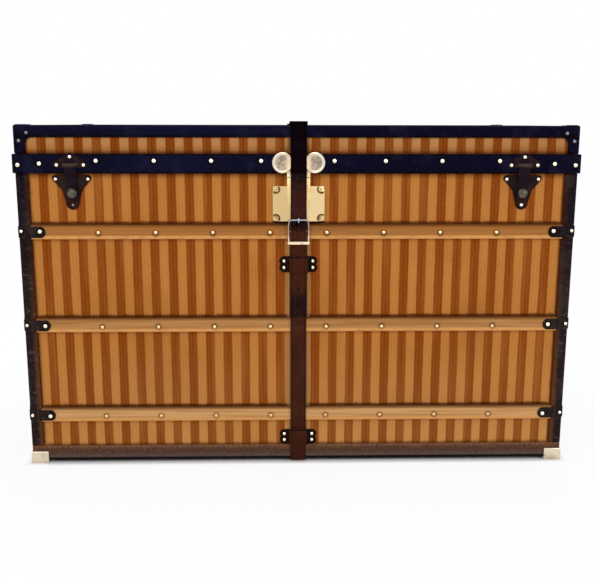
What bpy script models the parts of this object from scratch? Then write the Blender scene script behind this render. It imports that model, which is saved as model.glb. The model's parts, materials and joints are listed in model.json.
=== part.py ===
"""Flat-topped travelling trunk: a boarded carcase and hinged lid, covered in canvas, bound in
leather, braced with wooden slats, and closed by a lock, two side clasps and a buckled strap.

Metres, +Z up, origin on the floor under the middle of the trunk, the lock's face towards -Y."""

import math

import bmesh
import bpy
from mathutils import Matrix, Vector

# Clearance between pieces that touch
GAP = 0.0003
# How far a fused detail reaches into the piece that carries it
BITE = 0.0006
# How far from its axis a plate ends inside its barrel
AXIS_BITE = 0.0004

# Overall sizes
WIDTH = 1.100
DEPTH = 0.600
PARTING_Z = 0.5895
LID_HEIGHT = 0.091

# Carcase
BOARD = 0.010
LID_BOARD = 0.009
TONGUE_THICK = 0.0045
TONGUE_HEIGHT = 0.008
TONGUE_CLEARANCE = 0.001
CANVAS = 0.0015

# Rim band round the lid's lower edge
BAND_HEIGHT = 0.037
BAND_PROUD = 0.0085
BAND_CLAMP_PROUD = 0.0010
BAND_CLAMP_LENGTH = 0.058
BAND_EDGE = 0.0018

# Leather bindings
BINDING = 0.0022
BINDING_ROUND = 0.002
CORNER_BINDING_WIDTH = 0.024
BOTTOM_BINDING_TOP = 0.037
BINDING_FLANGE = 0.030
LID_BINDING_HEIGHT = 0.0225
LID_WINDOW_INSET = 0.022
LID_WINDOW_RADIUS = 0.013
CORNER_CAP_SIZE = 0.031
CORNER_CAP_PROUD = 0.0016

# Wooden slats
SLAT_COUNT = 3
SLAT_FIRST_Z = 0.1045
SLAT_BELOW_LOCK = 0.007
SLAT_WIDTH = 0.028
SLAT_THICK = 0.008
SLAT_ROUND = 0.0026
SLAT_END_GAP = 0.001

# Leather clamps over the slat ends, fused with the corner bindings
CLAMP_REACH = 0.0515
CLAMP_HEIGHT = 0.022
CLAMP_THICK = 0.0012
CLAMP_EDGE_THICK = 0.0012
CLAMP_SLOPE_START = 0.0195
CLAMP_SLOPE_END = 0.0105

# Runners and corner shoes under the trunk
RUNNER_THICK = 0.008
RUNNER_WIDTH = 0.045
RUNNER_END_INSET = 0.050
RUNNER_FACE_INSET = 0.110
SHOE_SIZE = 0.035
SHOE_HEIGHT = 0.025
SHOE_THICK = 0.0018
SHOE_ROUND = 0.0015

# Strap, its keepers and its buckle
STRAP_WIDTH = 0.031
STRAP_THICK = 0.003
STRAP_SIDE_GAP = 0.001
STRAP_PLY = 0.012
STRAP_FOLD = 0.0012
BEND_ROOM = 0.003
TAIL_GAP = 0.001
TAIL_DROP = 0.0005
TAIL_END_DROP = 0.186
TAIL_POINT = 0.022
TAIL_ROUND = 0.003
KEEPER_THICK = 0.002
KEEPER_LOBE = 0.0095
KEEPER_NAIL_X = 0.028
KEEPER_NAIL_SPREAD = 0.0065
KEEPER_DROP = 0.0645
TOP_KEEPER_LENGTH = 0.028
TOP_KEEPER_SIDE = 0.0015
TOP_KEEPER_CROWN = 0.0045
TOP_KEEPER_SIDE_GAP = 0.0005
BUCKLE_WIDTH = 0.0425
BUCKLE_HEIGHT = 0.0487
BUCKLE_WIRE = 0.0015
BUCKLE_RAIL = 0.0022
BUCKLE_CORNER = 0.006
BUCKLE_ABOVE_SLAT = 0.0015
BUCKLE_FOOT = 0.0056
BUCKLE_FOOT_ROUND = 0.0022
PRONG_WIRE = 0.0012
PRONG_EYE = 0.0033
PRONG_EYE_WIDTH = 0.004
PRONG_SHOULDER = 0.005
PRONG_OVERHANG = 0.004
PRONG_SLOT = 0.007
PRONG_SWING_ROOM = 0.0085

# Lock
LOCK_WIDTH = 0.100
LOCK_HEIGHT = 0.068
LOCK_THICK = 0.0092
LOCK_DROP = 0.024
LOCK_CORNER = 0.004
LOCK_EDGE_ROUND = 0.0008
LOCK_BACK_PLATE = 0.001
LOCK_EAR_INSET = 0.006
LOCK_EAR_RADIUS = 0.007
LOCK_EAR_THICK = 0.003
LOCK_NOTCH_WIDTH = 0.018
LOCK_NOTCH_DEPTH = 0.034
BOLT_THICK = 0.0034
BOLT_HEIGHT = 0.005
BOLT_LENGTH = 0.034
BOLT_TRAVEL = 0.026
BOLT_DROP = 0.024
BOLT_REST = 0.0015
BOLT_ROOM = 0.001
BOLT_FORWARD = 0.0009
HASP_WIDTH = 0.044
HASP_LENGTH = 0.064
HASP_THICK = 0.002
HASP_KNUCKLE = 0.021
HASP_CORNER = 0.008
STAPLE_WIDTH = 0.005
STAPLE_HEIGHT = 0.015
LEAF_THICK = 0.0015
LOCK_BARREL = 0.0025
LOCK_BARREL_DROP = 0.005
LOCK_BARREL_LENGTH = 0.045
LOBE_RADIUS = 0.020
LOBE_OFFSET = 0.0308
LOBE_HEIGHT = 0.0208
LOBE_PROUD = 0.005
LOBE_RIM = 0.004
LOBE_DISH = 0.0016
LOBE_EDGE = 0.001
PIN_RADIUS = 0.0012

# Side clasps
CLASP_INSET = 0.114
CLASP_AXIS_HEIGHT = 0.017
CLASP_BARREL = 0.0025
CLASP_BARREL_LENGTH = 0.025
CLASP_KNUCKLE = 0.012
CLASP_SADDLE = 0.0017
CLASP_TONGUE_TOP = 0.022
CLASP_TONGUE_TIP = 0.014
CLASP_TONGUE_LENGTH = 0.069
CLASP_TONGUE_CRANK = 0.0086
CLASP_CRANK_DROP = 0.010
CLASP_SHOULDER = 0.012
CLASP_SLOT = 0.005
CLASP_SLOT_DEPTH = 0.012
CLASP_STUD_PROUD = 0.001
CLASP_LOBE = 0.0065
CLASP_LID_HALF = 0.026
CLASP_LID_NAIL = 0.017
CLASP_LID_PEAK = 0.033
CLASP_PLATE_HALF = 0.031
CLASP_BODY_NAIL = 0.0095
CLASP_WAIST = 0.0185
CLASP_FOOT = 0.0125
CLASP_PLATE_DROP = 0.0575

# End handles
HANDLE_SPAN = 0.170
HANDLE_DROP = 0.040
HANDLE_ROD = 0.003
HANDLE_GRIP = 0.0062
HANDLE_BEND = 0.012
HANDLE_EAR_THICK = 0.006
HANDLE_EAR_RADIUS = 0.0070
HANDLE_KNOB = 0.004
HANDLE_KNOB_SWELL = 1.5
HANDLE_WALL_GAP = 0.001
HANDLE_PLATE = 0.002
HANDLE_PLATE_LENGTH = 0.230
HANDLE_PLATE_HEIGHT = 0.042
HANDLE_PLATE_CORNER = 0.012

# Hinges at the back
HINGE_INSET = 0.190
HINGE_WIDTH = 0.050
HINGE_PLATE = 0.002
HINGE_BARREL = 0.0045
HINGE_PIN = 0.002
HINGE_AXIS_PROUD = 0.0155
HINGE_BODY_LEAF = 0.055
HINGE_BODY_DROP = 0.005
HINGE_LID_LEAF = 0.029
HINGE_LID_RISE = 0.006
HINGE_WEB_FOOT = 0.007
HINGE_KNUCKLE = 0.018
HINGE_STOP_ANGLE = 100.0
HINGE_STOP_RADIUS = 0.0085
HINGE_STOP_THICK = 0.003
HINGE_STOP_CLEARANCE = 0.0008

ROUND_STEPS = 24

# The first letters of the pieces that the lid carries
LID_PIECES = (
    "lid_",
    "strap_upper",
    "strap_tail_axis",
    "strap_keeper_top",
    "lock_hinge_leaf",
    "lock_hasp_axis",
    "left_clasp_lid_plate",
    "left_clasp_axis",
    "right_clasp_lid_plate",
    "right_clasp_axis",
    "left_hinge_lid_leaf",
    "right_hinge_lid_leaf",
)

# Colour, roughness and metallic value of each finish
FINISHES = {
    "carcase_wood": ((0.46, 0.33, 0.19), 0.7, 0.0),
    "striped_canvas": ((0.50, 0.20, 0.05), 0.8, 0.0),
    "slat_wood": ((0.42, 0.19, 0.07), 0.45, 0.0),
    "binding_leather": ((0.030, 0.016, 0.014), 0.5, 0.0),
    "band_leather": ((0.010, 0.009, 0.022), 0.4, 0.0),
    "bottom_leather": ((0.070, 0.045, 0.034), 0.6, 0.0),
    "strap_leather": ((0.045, 0.017, 0.010), 0.5, 0.0),
    "brass": ((0.70, 0.50, 0.25), 0.3, 1.0),
    "pale_brass": ((0.60, 0.52, 0.42), 0.35, 1.0),
    "dark_iron": ((0.035, 0.027, 0.026), 0.45, 1.0),
    "steel": ((0.50, 0.50, 0.50), 0.35, 1.0),
}

# Places that several pieces share
HALF_WIDTH = WIDTH / 2
HALF_DEPTH = DEPTH / 2
BAND_X = HALF_WIDTH - BAND_CLAMP_PROUD
BAND_Y = HALF_DEPTH - BAND_CLAMP_PROUD
CANVAS_X = BAND_X - BAND_PROUD
CANVAS_Y = BAND_Y - BAND_PROUD
BOARD_X = CANVAS_X - CANVAS - GAP
BOARD_Y = CANVAS_Y - CANVAS - GAP
INNER_X = BOARD_X - BOARD
INNER_Y = BOARD_Y - BOARD
BINDING_X = CANVAS_X + GAP + BINDING
BINDING_Y = CANVAS_Y + GAP + BINDING
CANVAS_BOTTOM = RUNNER_THICK + GAP
BINDING_BOTTOM = CANVAS_BOTTOM - GAP - BINDING
BODY_TOP = PARTING_Z - GAP
LID_BOTTOM = PARTING_Z + GAP
LID_TOP = PARTING_Z + LID_HEIGHT
LID_CANVAS_TOP = LID_TOP - BINDING - GAP
BAND_TOP = LID_BOTTOM + BAND_HEIGHT
SLAT_LAST_Z = PARTING_Z - LOCK_DROP - LOCK_HEIGHT - SLAT_BELOW_LOCK - SLAT_WIDTH / 2
SLAT_SPACING = (SLAT_LAST_Z - SLAT_FIRST_Z) / (SLAT_COUNT - 1)
SLAT_LEVELS = [SLAT_FIRST_Z + SLAT_SPACING * row for row in range(SLAT_COUNT)]
SLAT_END_X = BINDING_X - CORNER_BINDING_WIDTH - SLAT_END_GAP
SLAT_END_Y = BINDING_Y - CORNER_BINDING_WIDTH - SLAT_END_GAP

# The strap's layers, as distances in front of the middle of the trunk
STRAP_HALF = STRAP_WIDTH / 2
ON_SLAT = CANVAS_Y + SLAT_THICK + GAP
ON_BINDING = BINDING_Y + GAP
ON_BAND = BAND_Y + GAP
LOBE_FRONT = ON_BAND + LOBE_PROUD
TAIL_BACK = LOBE_FRONT + GAP
BAR_DEPTH = ON_SLAT + STRAP_THICK + GAP + BUCKLE_WIRE
LOOP_INNER = BUCKLE_WIRE + GAP
HUMP_BACK = BAR_DEPTH + LOOP_INNER + STRAP_THICK + GAP
OUTER_BAR_DEPTH = TAIL_BACK + STRAP_THICK + GAP + BUCKLE_WIRE
BUCKLE_Z = SLAT_LEVELS[-1] + BUCKLE_ABOVE_SLAT
BUCKLE_HALF = BUCKLE_HEIGHT / 2 - BUCKLE_WIRE
LOOP_OUTER = LOOP_INNER + STRAP_THICK
TAIL_START = PARTING_Z - TAIL_DROP
TAIL_TIP = SLAT_LEVELS[-1] - TAIL_END_DROP
KEEPER_HEIGHT = 2 * (KEEPER_NAIL_SPREAD + KEEPER_LOBE)
STRAP_UNDER = BINDING_BOTTOM - GAP

# Lock and clasp levels
LOCK_TOP = PARTING_Z - LOCK_DROP
LOCK_FRONT = CANVAS_Y + GAP + LOCK_THICK
LOCK_AXIS_Z = PARTING_Z - LOCK_BARREL_DROP
LOCK_AXIS_DEPTH = ON_BAND + LOCK_BARREL
HASP_BACK = LOCK_FRONT + GAP
BOLT_Z = LOCK_TOP - BOLT_DROP
BOLT_DEPTH = CANVAS_Y + GAP + LOCK_THICK / 2 + BOLT_FORWARD
CLASP_AXIS_Z = PARTING_Z + CLASP_AXIS_HEIGHT
CLASP_AXIS_DEPTH = ON_BAND + LEAF_THICK + GAP + CLASP_BARREL

# Hinge and handle axes
HINGE_AXIS_Y = CANVAS_Y + HINGE_AXIS_PROUD
HANDLE_Z = (SLAT_LEVELS[-2] + SLAT_LEVELS[-1]) / 2 + HANDLE_DROP / 2
HANDLE_AXIS_PROUD = GAP + HANDLE_PLATE + HANDLE_WALL_GAP + HANDLE_GRIP

for leftover in list(bpy.data.objects):
    bpy.data.objects.remove(leftover, do_unlink=True)

parts = bpy.data.collections.new("travelling_trunk")
guides = bpy.data.collections.new("travelling_trunk_guides")
bpy.context.scene.collection.children.link(parts)
bpy.context.scene.collection.children.link(guides)


def paint(name, finish):
    """A material of the named finish for one piece."""
    colour, roughness, metallic = FINISHES[finish]
    material = bpy.data.materials.new(name)
    material.use_nodes = True
    shader = material.node_tree.nodes["Principled BSDF"]
    shader.inputs["Base Color"].default_value = (*colour, 1.0)
    shader.inputs["Roughness"].default_value = roughness
    shader.inputs["Metallic"].default_value = metallic
    return material


def add_piece(name, mesh, finish):
    """Link a mesh as a piece of the trunk; without a finish it is a guide for another piece."""
    piece = bpy.data.objects.new(name, mesh)
    if finish:
        parts.objects.link(piece)
        mesh.materials.append(paint(name, finish))
    else:
        guides.objects.link(piece)
        piece.hide_render = True
        piece.display_type = "WIRE"
    return piece


def round_edges(piece, width, segments=2):
    """Round a piece's sharp edges."""
    bevel = piece.modifiers.new("rounded_edges", "BEVEL")
    bevel.width = width
    bevel.segments = segments
    bevel.limit_method = "ANGLE"
    bevel.angle_limit = math.radians(40)
    return piece


def box(name, low, high, finish=None):
    """A box between two corners."""
    low = Vector(low)
    high = Vector(high)
    shape = bmesh.new()
    bmesh.ops.create_cube(shape, size=1.0)
    bmesh.ops.scale(shape, vec=high - low, verts=shape.verts)
    mesh = bpy.data.meshes.new(name)
    shape.to_mesh(mesh)
    shape.free()
    piece = add_piece(name, mesh, finish)
    piece.location = (low + high) / 2
    return piece


def open_box(name, low, high, wall, open_up, finish):
    """A box of sheet material, open at its top or at its bottom, its wall inside its corners."""
    piece = box(name, low, high, finish)
    shape = bmesh.new()
    shape.from_mesh(piece.data)
    side = 1.0 if open_up else -1.0
    opening = [face for face in shape.faces if face.normal.z * side > 0.5]
    bmesh.ops.delete(shape, geom=opening, context="FACES_ONLY")
    shape.to_mesh(piece.data)
    shape.free()
    sheet = piece.modifiers.new("sheet", "SOLIDIFY")
    sheet.thickness = wall
    sheet.offset = -1.0
    sheet.use_even_offset = True
    return piece


def cylinder(name, centre, radius, length, axis, finish=None, steps=ROUND_STEPS):
    """A round bar along the X, Y or Z axis."""
    shape = bmesh.new()
    bmesh.ops.create_cone(
        shape, cap_ends=True, segments=steps, radius1=radius, radius2=radius, depth=length
    )
    turn = {
        "X": Matrix.Rotation(math.radians(90), 3, "Y"),
        "Y": Matrix.Rotation(math.radians(90), 3, "X"),
        "Z": Matrix.Identity(3),
    }[axis]
    bmesh.ops.rotate(shape, verts=shape.verts, matrix=turn)
    mesh = bpy.data.meshes.new(name)
    shape.to_mesh(mesh)
    shape.free()
    mesh.shade_smooth()
    mesh.set_sharp_from_angle(angle=math.radians(40))
    piece = add_piece(name, mesh, finish)
    piece.location = centre
    return piece


def mesh_of(drawing, name, finish):
    """Turn a curve object into a closed mesh piece at the same place."""
    bpy.context.scene.collection.objects.link(drawing)
    bpy.context.view_layer.update()
    evaluated = drawing.evaluated_get(bpy.context.evaluated_depsgraph_get())
    mesh = bpy.data.meshes.new_from_object(evaluated)
    mesh.name = name
    mesh.materials.clear()
    shape = bmesh.new()
    shape.from_mesh(mesh)
    bmesh.ops.remove_doubles(shape, verts=shape.verts, dist=0.000001)
    bmesh.ops.recalc_face_normals(shape, faces=shape.faces)
    shape.to_mesh(mesh)
    shape.free()
    place = drawing.matrix_world.copy()
    bpy.data.objects.remove(drawing, do_unlink=True)
    piece = add_piece(name, mesh, finish)
    piece.matrix_world = place
    return piece


def outline(name, plane, points, low, high, finish=None):
    """A closed outline drawn in the front (x, z), side (y, z) or plan (x, y) plane, extruded
    across that plane from low to high."""
    curve = bpy.data.curves.new(name, "CURVE")
    curve.dimensions = "2D"
    curve.fill_mode = "BOTH"
    curve.extrude = (high - low) / 2
    spline = curve.splines.new("POLY")
    spline.points.add(len(points) - 1)
    for point, (across, up) in zip(spline.points, points):
        point.co = (across, up, 0.0, 1.0)
    spline.use_cyclic_u = True
    drawing = bpy.data.objects.new(name + "_drawing", curve)
    middle = (low + high) / 2
    if plane == "front":
        turn = Matrix(((1, 0, 0), (0, 0, -1), (0, 1, 0)))
        place = Vector((0, middle, 0))
    elif plane == "side":
        turn = Matrix(((0, 0, 1), (1, 0, 0), (0, 1, 0)))
        place = Vector((middle, 0, 0))
    else:
        turn = Matrix.Identity(3)
        place = Vector((0, 0, middle))
    drawing.matrix_world = Matrix.Translation(place) @ turn.to_4x4()
    return mesh_of(drawing, name, finish)


def rod(name, path, radius, finish=None, swell=None, closed=False):
    """A round rod along a path; swell multiplies the radius at each point."""
    curve = bpy.data.curves.new(name, "CURVE")
    curve.dimensions = "3D"
    curve.bevel_depth = radius
    curve.bevel_resolution = 2
    curve.use_fill_caps = True
    spline = curve.splines.new("POLY")
    spline.points.add(len(path) - 1)
    for index, (point, place) in enumerate(zip(spline.points, path)):
        point.co = (*place, 1.0)
        if swell:
            point.radius = swell[index]
    spline.use_cyclic_u = closed
    drawing = bpy.data.objects.new(name + "_drawing", curve)
    piece = mesh_of(drawing, name, finish)
    piece.data.shade_smooth()
    piece.data.set_sharp_from_angle(angle=math.radians(50))
    return piece


def turned(name, profile, centre, turn, finish=None, steps=ROUND_STEPS):
    """A turned piece: a profile of (radius, height) points that runs down its outer side."""
    shape = bmesh.new()
    rim = [shape.verts.new((radius, 0.0, height)) for radius, height in profile]
    for upper, lower in zip(rim, rim[1:]):
        shape.edges.new((upper, lower))
    mesh = bpy.data.meshes.new(name)
    shape.to_mesh(mesh)
    shape.free()
    piece = add_piece(name, mesh, finish)
    screw = piece.modifiers.new("turned", "SCREW")
    screw.steps = steps
    screw.render_steps = steps
    screw.use_merge_vertices = True
    screw.merge_threshold = 0.00001
    screw.use_smooth_shade = True
    piece.matrix_world = Matrix.Translation(Vector(centre)) @ turn.to_4x4()
    return piece


def combine(piece, operation, *others):
    """Join other shapes to a piece, cut them from it, or keep what they share."""
    for other in others:
        for collection in list(other.users_collection):
            collection.objects.unlink(other)
        guides.objects.link(other)
        other.hide_render = True
        other.display_type = "WIRE"
        change = piece.modifiers.new(other.name, "BOOLEAN")
        change.operation = operation
        change.solver = "EXACT"
        change.object = other
    return piece


def join(piece, *others):
    return combine(piece, "UNION", *others)


def cut(piece, *others):
    return combine(piece, "DIFFERENCE", *others)


def keep_shared(piece, *others):
    return combine(piece, "INTERSECT", *others)


def arc(across, up, radius, start, end, steps):
    """Points along an arc, from one angle to another in degrees."""
    points = []
    for step in range(steps + 1):
        angle = math.radians(start + (end - start) * step / steps)
        points.append((across + radius * math.cos(angle), up + radius * math.sin(angle)))
    return points


def rounded_rectangle(low, high, radius, steps=4):
    """The outline of a rectangle with round corners."""
    left, bottom = low
    right, top = high
    return (
        arc(right - radius, top - radius, radius, 0, 90, steps)
        + arc(left + radius, top - radius, radius, 90, 180, steps)
        + arc(left + radius, bottom + radius, radius, 180, 270, steps)
        + arc(right - radius, bottom + radius, radius, 270, 360, steps)
    )


def offset_path(path, distance):
    """The path moved to its left by a distance, with mitred corners."""
    moved = []
    for index, point in enumerate(path):
        here = Vector(point)
        before = here - Vector(path[index - 1]) if index > 0 else None
        after = Vector(path[index + 1]) - here if index + 1 < len(path) else None
        incoming = (before or after).normalized()
        outgoing = (after or before).normalized()
        normal_in = Vector((-incoming.y, incoming.x))
        normal_out = Vector((-outgoing.y, outgoing.x))
        mitre = (normal_in + normal_out).normalized()
        reach = distance / mitre.dot(normal_in)
        moved.append(tuple(here + mitre * reach))
    return moved


def ribbon(path, thickness):
    """The closed outline of a strip of even thickness, laid to the left of its path."""
    return list(path) + list(reversed(offset_path(path, thickness)))


def pivot(name, place, *pieces):
    """An empty on a joint's axis that carries the pieces turning there."""
    axis = bpy.data.objects.new(name, None)
    axis.location = place
    axis.empty_display_size = 0.03
    parts.objects.link(axis)
    for piece in pieces:
        piece.parent = axis
        piece.matrix_parent_inverse = Matrix.Translation(Vector(place)).inverted()
    return axis


def make_body_boards():
    """Four sides and a bottom; the sides' inner edges rise as a tongue into the lid."""
    floor_z = CANVAS_BOTTOM + CANVAS + GAP
    tongue_top = PARTING_Z + TONGUE_HEIGHT
    tongue_x = INNER_X + TONGUE_THICK
    tongue_y = INNER_Y + TONGUE_THICK
    far = 2 * WIDTH
    sides = {
        "body_front_board": ((-BOARD_X, -BOARD_Y), (BOARD_X, -INNER_Y)),
        "body_back_board": ((-BOARD_X, INNER_Y), (BOARD_X, BOARD_Y)),
        "body_left_board": ((-BOARD_X, -INNER_Y + GAP), (-INNER_X, INNER_Y - GAP)),
        "body_right_board": ((INNER_X, -INNER_Y + GAP), (BOARD_X, INNER_Y - GAP)),
    }
    for name, (low, high) in sides.items():
        board = box(name, (*low, floor_z), (*high, tongue_top), "carcase_wood")
        around = box(name + "_rebate", (-far, -far, BODY_TOP), (far, far, far))
        cut(around, box(name + "_tongue", (-tongue_x, -tongue_y, 0), (tongue_x, tongue_y, 2 * far)))
        cut(board, around)
    low = (-INNER_X + GAP, -INNER_Y + GAP, floor_z)
    high = (INNER_X - GAP, INNER_Y - GAP, floor_z + BOARD)
    box("body_bottom_board", low, high, "carcase_wood")


def make_lid_boards():
    """The lid's rim, rebated for the body's tongue, and the board that closes it."""
    rim_top = LID_CANVAS_TOP - CANVAS - GAP - LID_BOARD - GAP
    frame = box(
        "lid_frame", (-BOARD_X, -BOARD_Y, LID_BOTTOM), (BOARD_X, BOARD_Y, rim_top), "carcase_wood"
    )
    inside = box("lid_frame_inside", (-INNER_X, -INNER_Y, 0), (INNER_X, INNER_Y, 2 * rim_top))
    rebate_x = INNER_X + TONGUE_THICK + TONGUE_CLEARANCE
    rebate_y = INNER_Y + TONGUE_THICK + TONGUE_CLEARANCE
    rebate_top = PARTING_Z + TONGUE_HEIGHT + TONGUE_CLEARANCE
    rebate = box("lid_frame_rebate", (-rebate_x, -rebate_y, 0), (rebate_x, rebate_y, rebate_top))
    cut(frame, inside, rebate)
    low = (-BOARD_X, -BOARD_Y, rim_top + GAP)
    high = (BOARD_X, BOARD_Y, rim_top + GAP + LID_BOARD)
    box("lid_top_board", low, high, "carcase_wood")


def make_canvas():
    """The striped canvas over the body's sides and bottom, and over the lid."""
    body_low = (-CANVAS_X, -CANVAS_Y, CANVAS_BOTTOM)
    open_box("body_canvas", body_low, (CANVAS_X, CANVAS_Y, BODY_TOP), CANVAS, True, "striped_canvas")
    lid_low = (-CANVAS_X, -CANVAS_Y, LID_BOTTOM)
    lid_high = (CANVAS_X, CANVAS_Y, LID_CANVAS_TOP)
    open_box("lid_canvas", lid_low, lid_high, CANVAS, False, "striped_canvas")


def corner_path(outer, inner, rounding, side_x, side_y):
    """The plan of a strip folded round one of the four upright edges. Both faces are given as
    points (distance along the canvas, height above it), from the strip's end to the edge."""
    front = [(CANVAS_X - along, CANVAS_Y + proud) for along, proud in outer]
    end = [(CANVAS_X + proud, CANVAS_Y - along) for along, proud in reversed(outer)]
    reach = outer[-1][1] - rounding
    edge = arc(CANVAS_X + reach, CANVAS_Y + reach, rounding, 90, 0, 4)
    under_end = [(CANVAS_X + proud, CANVAS_Y - along) for along, proud in inner]
    under_edge = [(CANVAS_X + inner[-1][1], CANVAS_Y + inner[-1][1])]
    under_front = [(CANVAS_X - along, CANVAS_Y + proud) for along, proud in reversed(inner)]
    path = front + edge + end + under_end + under_edge + under_front
    return [(side_x * x, side_y * y) for x, y in path]


def clamp_shape(end, level, side):
    """What is kept of a clamp, seen along one of its two faces: its free end is half round."""
    half = CLAMP_HEIGHT / 2 + BITE
    centre = side * (end + half + BITE)
    shape = arc(centre, level, half, 90, 90 + side * 180, 8)
    return shape + [(side * WIDTH, level - half), (side * WIDTH, level + half)]


def make_corner_bindings():
    """Leather angle strips on the four upright edges, with the clamps over the slat ends."""
    proud = GAP + BINDING
    leg = CORNER_BINDING_WIDTH - proud
    slat_line = SLAT_THICK + GAP
    clamp_line = slat_line + CLAMP_THICK
    clamp_end = CANVAS_X - SLAT_END_X - GAP
    strip_outer = [(leg, proud)]
    strip_inner = [(leg, GAP)]
    clamp_outer = [
        (CLAMP_REACH, clamp_line),
        (CLAMP_SLOPE_START, clamp_line),
        (CLAMP_SLOPE_END, proud + CLAMP_EDGE_THICK),
    ]
    clamp_inner = [(CLAMP_REACH, slat_line), (clamp_end, slat_line), (clamp_end, GAP + BITE)]
    for end, side_x in (("left", -1), ("right", 1)):
        for face, side_y in (("front", -1), ("back", 1)):
            name = f"{face}_{end}_corner_binding"
            plan = corner_path(strip_outer, strip_inner, BINDING_ROUND, side_x, side_y)
            low = BOTTOM_BINDING_TOP + GAP
            strip = outline(name, "plan", plan, low, BODY_TOP, "binding_leather")
            clamp_plan = corner_path(clamp_outer, clamp_inner, BINDING_ROUND, side_x, side_y)
            for row, level in enumerate(SLAT_LEVELS):
                bottom = level - CLAMP_HEIGHT / 2
                top = level + CLAMP_HEIGHT / 2
                clamp = outline(f"{name}_clamp_{row}", "plan", clamp_plan, bottom, top)
                for plane, width, side in (("front", CANVAS_X, side_x), ("side", CANVAS_Y, side_y)):
                    mask = f"{name}_clamp_{row}_{plane}_shape"
                    shape = clamp_shape(width - CLAMP_REACH, level, side)
                    keep_shared(clamp, outline(mask, plane, shape, -WIDTH, WIDTH))
                join(strip, clamp)


def make_bottom_binding():
    """Leather folded round the trunk's bottom edges, open over the middle of the bottom."""
    low = (-BINDING_X, -BINDING_Y, BINDING_BOTTOM)
    high = (BINDING_X, BINDING_Y, BOTTOM_BINDING_TOP)
    binding = box("bottom_binding", low, high, "bottom_leather")
    round_edges(binding, BINDING_ROUND)
    pocket_x = CANVAS_X + GAP
    pocket_y = CANVAS_Y + GAP
    above = 2 * BOTTOM_BINDING_TOP
    floor_z = CANVAS_BOTTOM - GAP
    pocket = box("bottom_binding_pocket", (-pocket_x, -pocket_y, floor_z), (pocket_x, pocket_y, above))
    opening_x = BINDING_X - BINDING_FLANGE
    opening_y = BINDING_Y - BINDING_FLANGE
    opening = box(
        "bottom_binding_opening", (-opening_x, -opening_y, 0), (opening_x, opening_y, above)
    )
    cut(binding, pocket, opening)


def slat_section(face, side):
    """A slat's section on one side of the trunk: flat towards the canvas, round outside."""
    half = SLAT_WIDTH / 2
    shoulder = SLAT_THICK - SLAT_ROUND
    section = [(GAP, -half)]
    section += arc(shoulder, -half + SLAT_ROUND, SLAT_ROUND, -90, 0, 3)
    section += arc(shoulder, half - SLAT_ROUND, SLAT_ROUND, 0, 90, 3)
    section.append((GAP, half))
    return [(side * (face + proud), up) for proud, up in section]


def make_slats():
    """Three rows of wooden slats on each of the four sides."""
    rows = ("low", "middle", "high")
    sides = {
        "front": ("side", CANVAS_Y, -1, SLAT_END_X),
        "back": ("side", CANVAS_Y, 1, SLAT_END_X),
        "left": ("front", CANVAS_X, -1, SLAT_END_Y),
        "right": ("front", CANVAS_X, 1, SLAT_END_Y),
    }
    for name, (plane, face, side, end) in sides.items():
        section = slat_section(face, side)
        for row, level in zip(rows, SLAT_LEVELS):
            raised = [(across, up + level) for across, up in section]
            outline(f"{name}_slat_{row}", plane, raised, -end, end, "slat_wood")


def make_runners_and_shoes():
    """Two runners under the trunk, housed for the strap, and a brass shoe at each corner."""
    strap_low = STRAP_UNDER - STRAP_THICK - GAP
    housing_x = STRAP_HALF + STRAP_SIDE_GAP
    end = HALF_WIDTH - RUNNER_END_INSET
    for name, side in (("front", -1), ("back", 1)):
        middle = side * (HALF_DEPTH - RUNNER_FACE_INSET)
        near = middle - RUNNER_WIDTH / 2
        far = middle + RUNNER_WIDTH / 2
        runner = box(
            f"{name}_bottom_runner",
            (-end, near, 0),
            (end, far, RUNNER_THICK),
            "slat_wood",
        )
        housing = box(
            f"{name}_bottom_runner_housing",
            (-housing_x, near - RUNNER_WIDTH, strap_low),
            (housing_x, far + RUNNER_WIDTH, 2 * RUNNER_THICK),
        )
        cut(runner, housing)
    seat_x = BINDING_X + GAP
    seat_y = BINDING_Y + GAP
    for end, side_x in (("left", -1), ("right", 1)):
        for face, side_y in (("front", -1), ("back", 1)):
            name = f"{face}_{end}_corner_shoe"
            outer = (side_x * (seat_x + SHOE_THICK), side_y * (seat_y + SHOE_THICK))
            inner = (outer[0] - side_x * SHOE_SIZE, outer[1] - side_y * SHOE_SIZE)
            low = (min(outer[0], inner[0]), min(outer[1], inner[1]), 0)
            high = (max(outer[0], inner[0]), max(outer[1], inner[1]), SHOE_HEIGHT)
            shoe = round_edges(box(name, low, high, "pale_brass"), SHOE_ROUND, 3)
            seat = box(
                name + "_seat",
                (-seat_x, -seat_y, BINDING_BOTTOM - GAP),
                (seat_x, seat_y, 2 * SHOE_HEIGHT),
            )
            cut(shoe, seat)


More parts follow.
